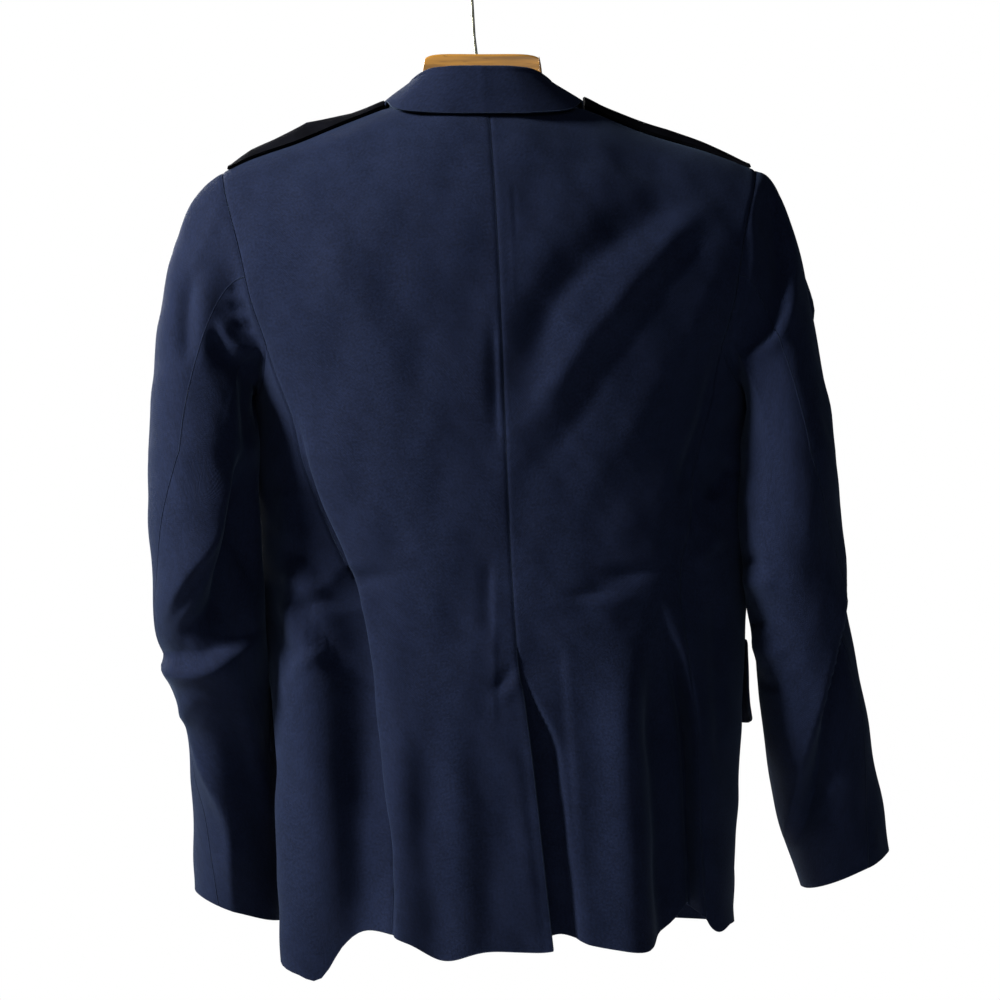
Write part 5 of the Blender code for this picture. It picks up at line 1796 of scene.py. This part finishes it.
class JACKET_OT_hanger(Operator):
    """Shape the wooden hanger and bend its steel hook"""

    bl_idname = "jacket.hanger"
    bl_label = "Hanger"

    def execute(self, context):
        make_hanger(finish_named("jacket_hanger_wood"))
        make_hook(finish_named("jacket_hook_steel"))
        return {"FINISHED"}


def make_floor(height):
    """A pale round floor, well below the hem."""
    start_fresh()
    place = (0, 0, height)
    bpy.ops.mesh.primitive_circle_add(vertices=96, radius=FLOOR_RADIUS, fill_type="NGON", location=place)
    floor = bpy.context.object
    floor.name = "floor"
    floor.data.materials.append(Finish("floor_paper").set(Base_Color=FLOOR_COLOUR, Roughness=0.9))


def make_light(row, power):
    """A round soft light that faces the jacket's middle."""
    light = bpy.data.lights.new(row["name"], "AREA")
    light.shape = "DISK"
    light.size = row["size"]
    light.energy = power
    light.color = row["colour"]
    lamp = bpy.data.objects.new(row["name"], light)
    lamp.location = row["place"]
    lamp.rotation_euler = (Vector(STAGE_MIDDLE) - lamp.location).to_track_quat("-Z", "Y").to_euler()
    bpy.context.collection.objects.link(lamp)


def make_room(scene, strength):
    """Dim light from all round, behind which the camera sees plain white."""
    scene.world = bpy.data.worlds.new("room")
    scene.world.use_nodes = True
    nodes, links = scene.world.node_tree.nodes, scene.world.node_tree.links
    room = nodes["Background"]
    room.inputs["Color"].default_value = ROOM_COLOUR
    room.inputs["Strength"].default_value = strength
    seen = nodes.new("ShaderNodeBackground")
    seen.inputs["Color"].default_value = (1.0, 1.0, 1.0, 1.0)
    rays = nodes.new("ShaderNodeLightPath")
    mixed = nodes.new("ShaderNodeMixShader")
    wires = (rays.outputs["Is Camera Ray"], room.outputs[0], seen.outputs[0])
    for wire, socket in zip(wires, mixed.inputs):
        links.new(wire, socket)
    links.new(mixed.outputs[0], nodes["World Output"].inputs["Surface"])


def make_camera(scene, away):
    """Straight behind the jacket, with its span at the hook's plane."""
    camera = bpy.data.objects.new("camera", bpy.data.cameras.new("camera"))
    camera.data.sensor_width = SENSOR
    camera.data.lens = SENSOR * away / CAMERA_SPAN
    camera.location = (CAMERA_X, away, CAMERA_Z)
    camera.rotation_euler = (math.radians(90), 0, math.radians(180))
    bpy.context.collection.objects.link(camera)
    scene.camera = camera


class JACKET_OT_stage(Operator):
    """Set the pale floor, the soft lights, the room and the camera"""

    bl_idname = "jacket.stage"
    bl_label = "Stage"

    def execute(self, context):
        scene, stage = context.scene, context.scene.jacket_stage
        make_floor(CAD_BOX[0][2] - stage.floor_drop)
        powers = (stage.key, stage.fill, stage.key * FRONT_SHARE)
        for row, power in zip(named(LIGHT_COLUMNS, LIGHTS), powers):
            make_light(row, power)
        make_room(scene, stage.sky)
        make_camera(scene, stage.camera_away)
        scene.view_settings.view_transform = "Standard"
        scene.view_settings.look = "None"
        return {"FINISHED"}


STEPS = (
    JACKET_OT_finishes,
    JACKET_OT_body,
    JACKET_OT_sleeves,
    JACKET_OT_collar,
    JACKET_OT_flaps,
    JACKET_OT_straps,
    JACKET_OT_buttons,
    JACKET_OT_hanger,
    JACKET_OT_stage,
)


class JACKET_PT_panel(Panel):
    """Everything that makes the jacket, in order"""

    bl_idname = "JACKET_PT_panel"
    bl_label = "Military Dress Jacket"
    bl_space_type = "VIEW_3D"
    bl_region_type = "UI"
    bl_category = "Jacket"

    def draw(self, context):
        scene = context.scene
        for group in (scene.jacket_cloth, scene.jacket_hard, scene.jacket_stage):
            box = self.layout.box()
            for name in group.__annotations__:
                box.prop(group, name)
        for step in STEPS:
            self.layout.operator(step.bl_idname)


CLASSES = (JacketClothSettings, JacketHardSettings, JacketStageSettings) + STEPS + (JACKET_PT_panel,)


def register():
    for each in CLASSES:
        bpy.utils.register_class(each)
    bpy.types.Scene.jacket_cloth = PointerProperty(type=JacketClothSettings)
    bpy.types.Scene.jacket_hard = PointerProperty(type=JacketHardSettings)
    bpy.types.Scene.jacket_stage = PointerProperty(type=JacketStageSettings)


def unregister():
    del bpy.types.Scene.jacket_stage
    del bpy.types.Scene.jacket_hard
    del bpy.types.Scene.jacket_cloth
    for each in reversed(CLASSES):
        bpy.utils.unregister_class(each)


def main():
    register()
    for step in STEPS:
        group, name = step.bl_idname.split(".")
        getattr(getattr(bpy.ops, group), name)()


if __name__ == "__main__":
    main()
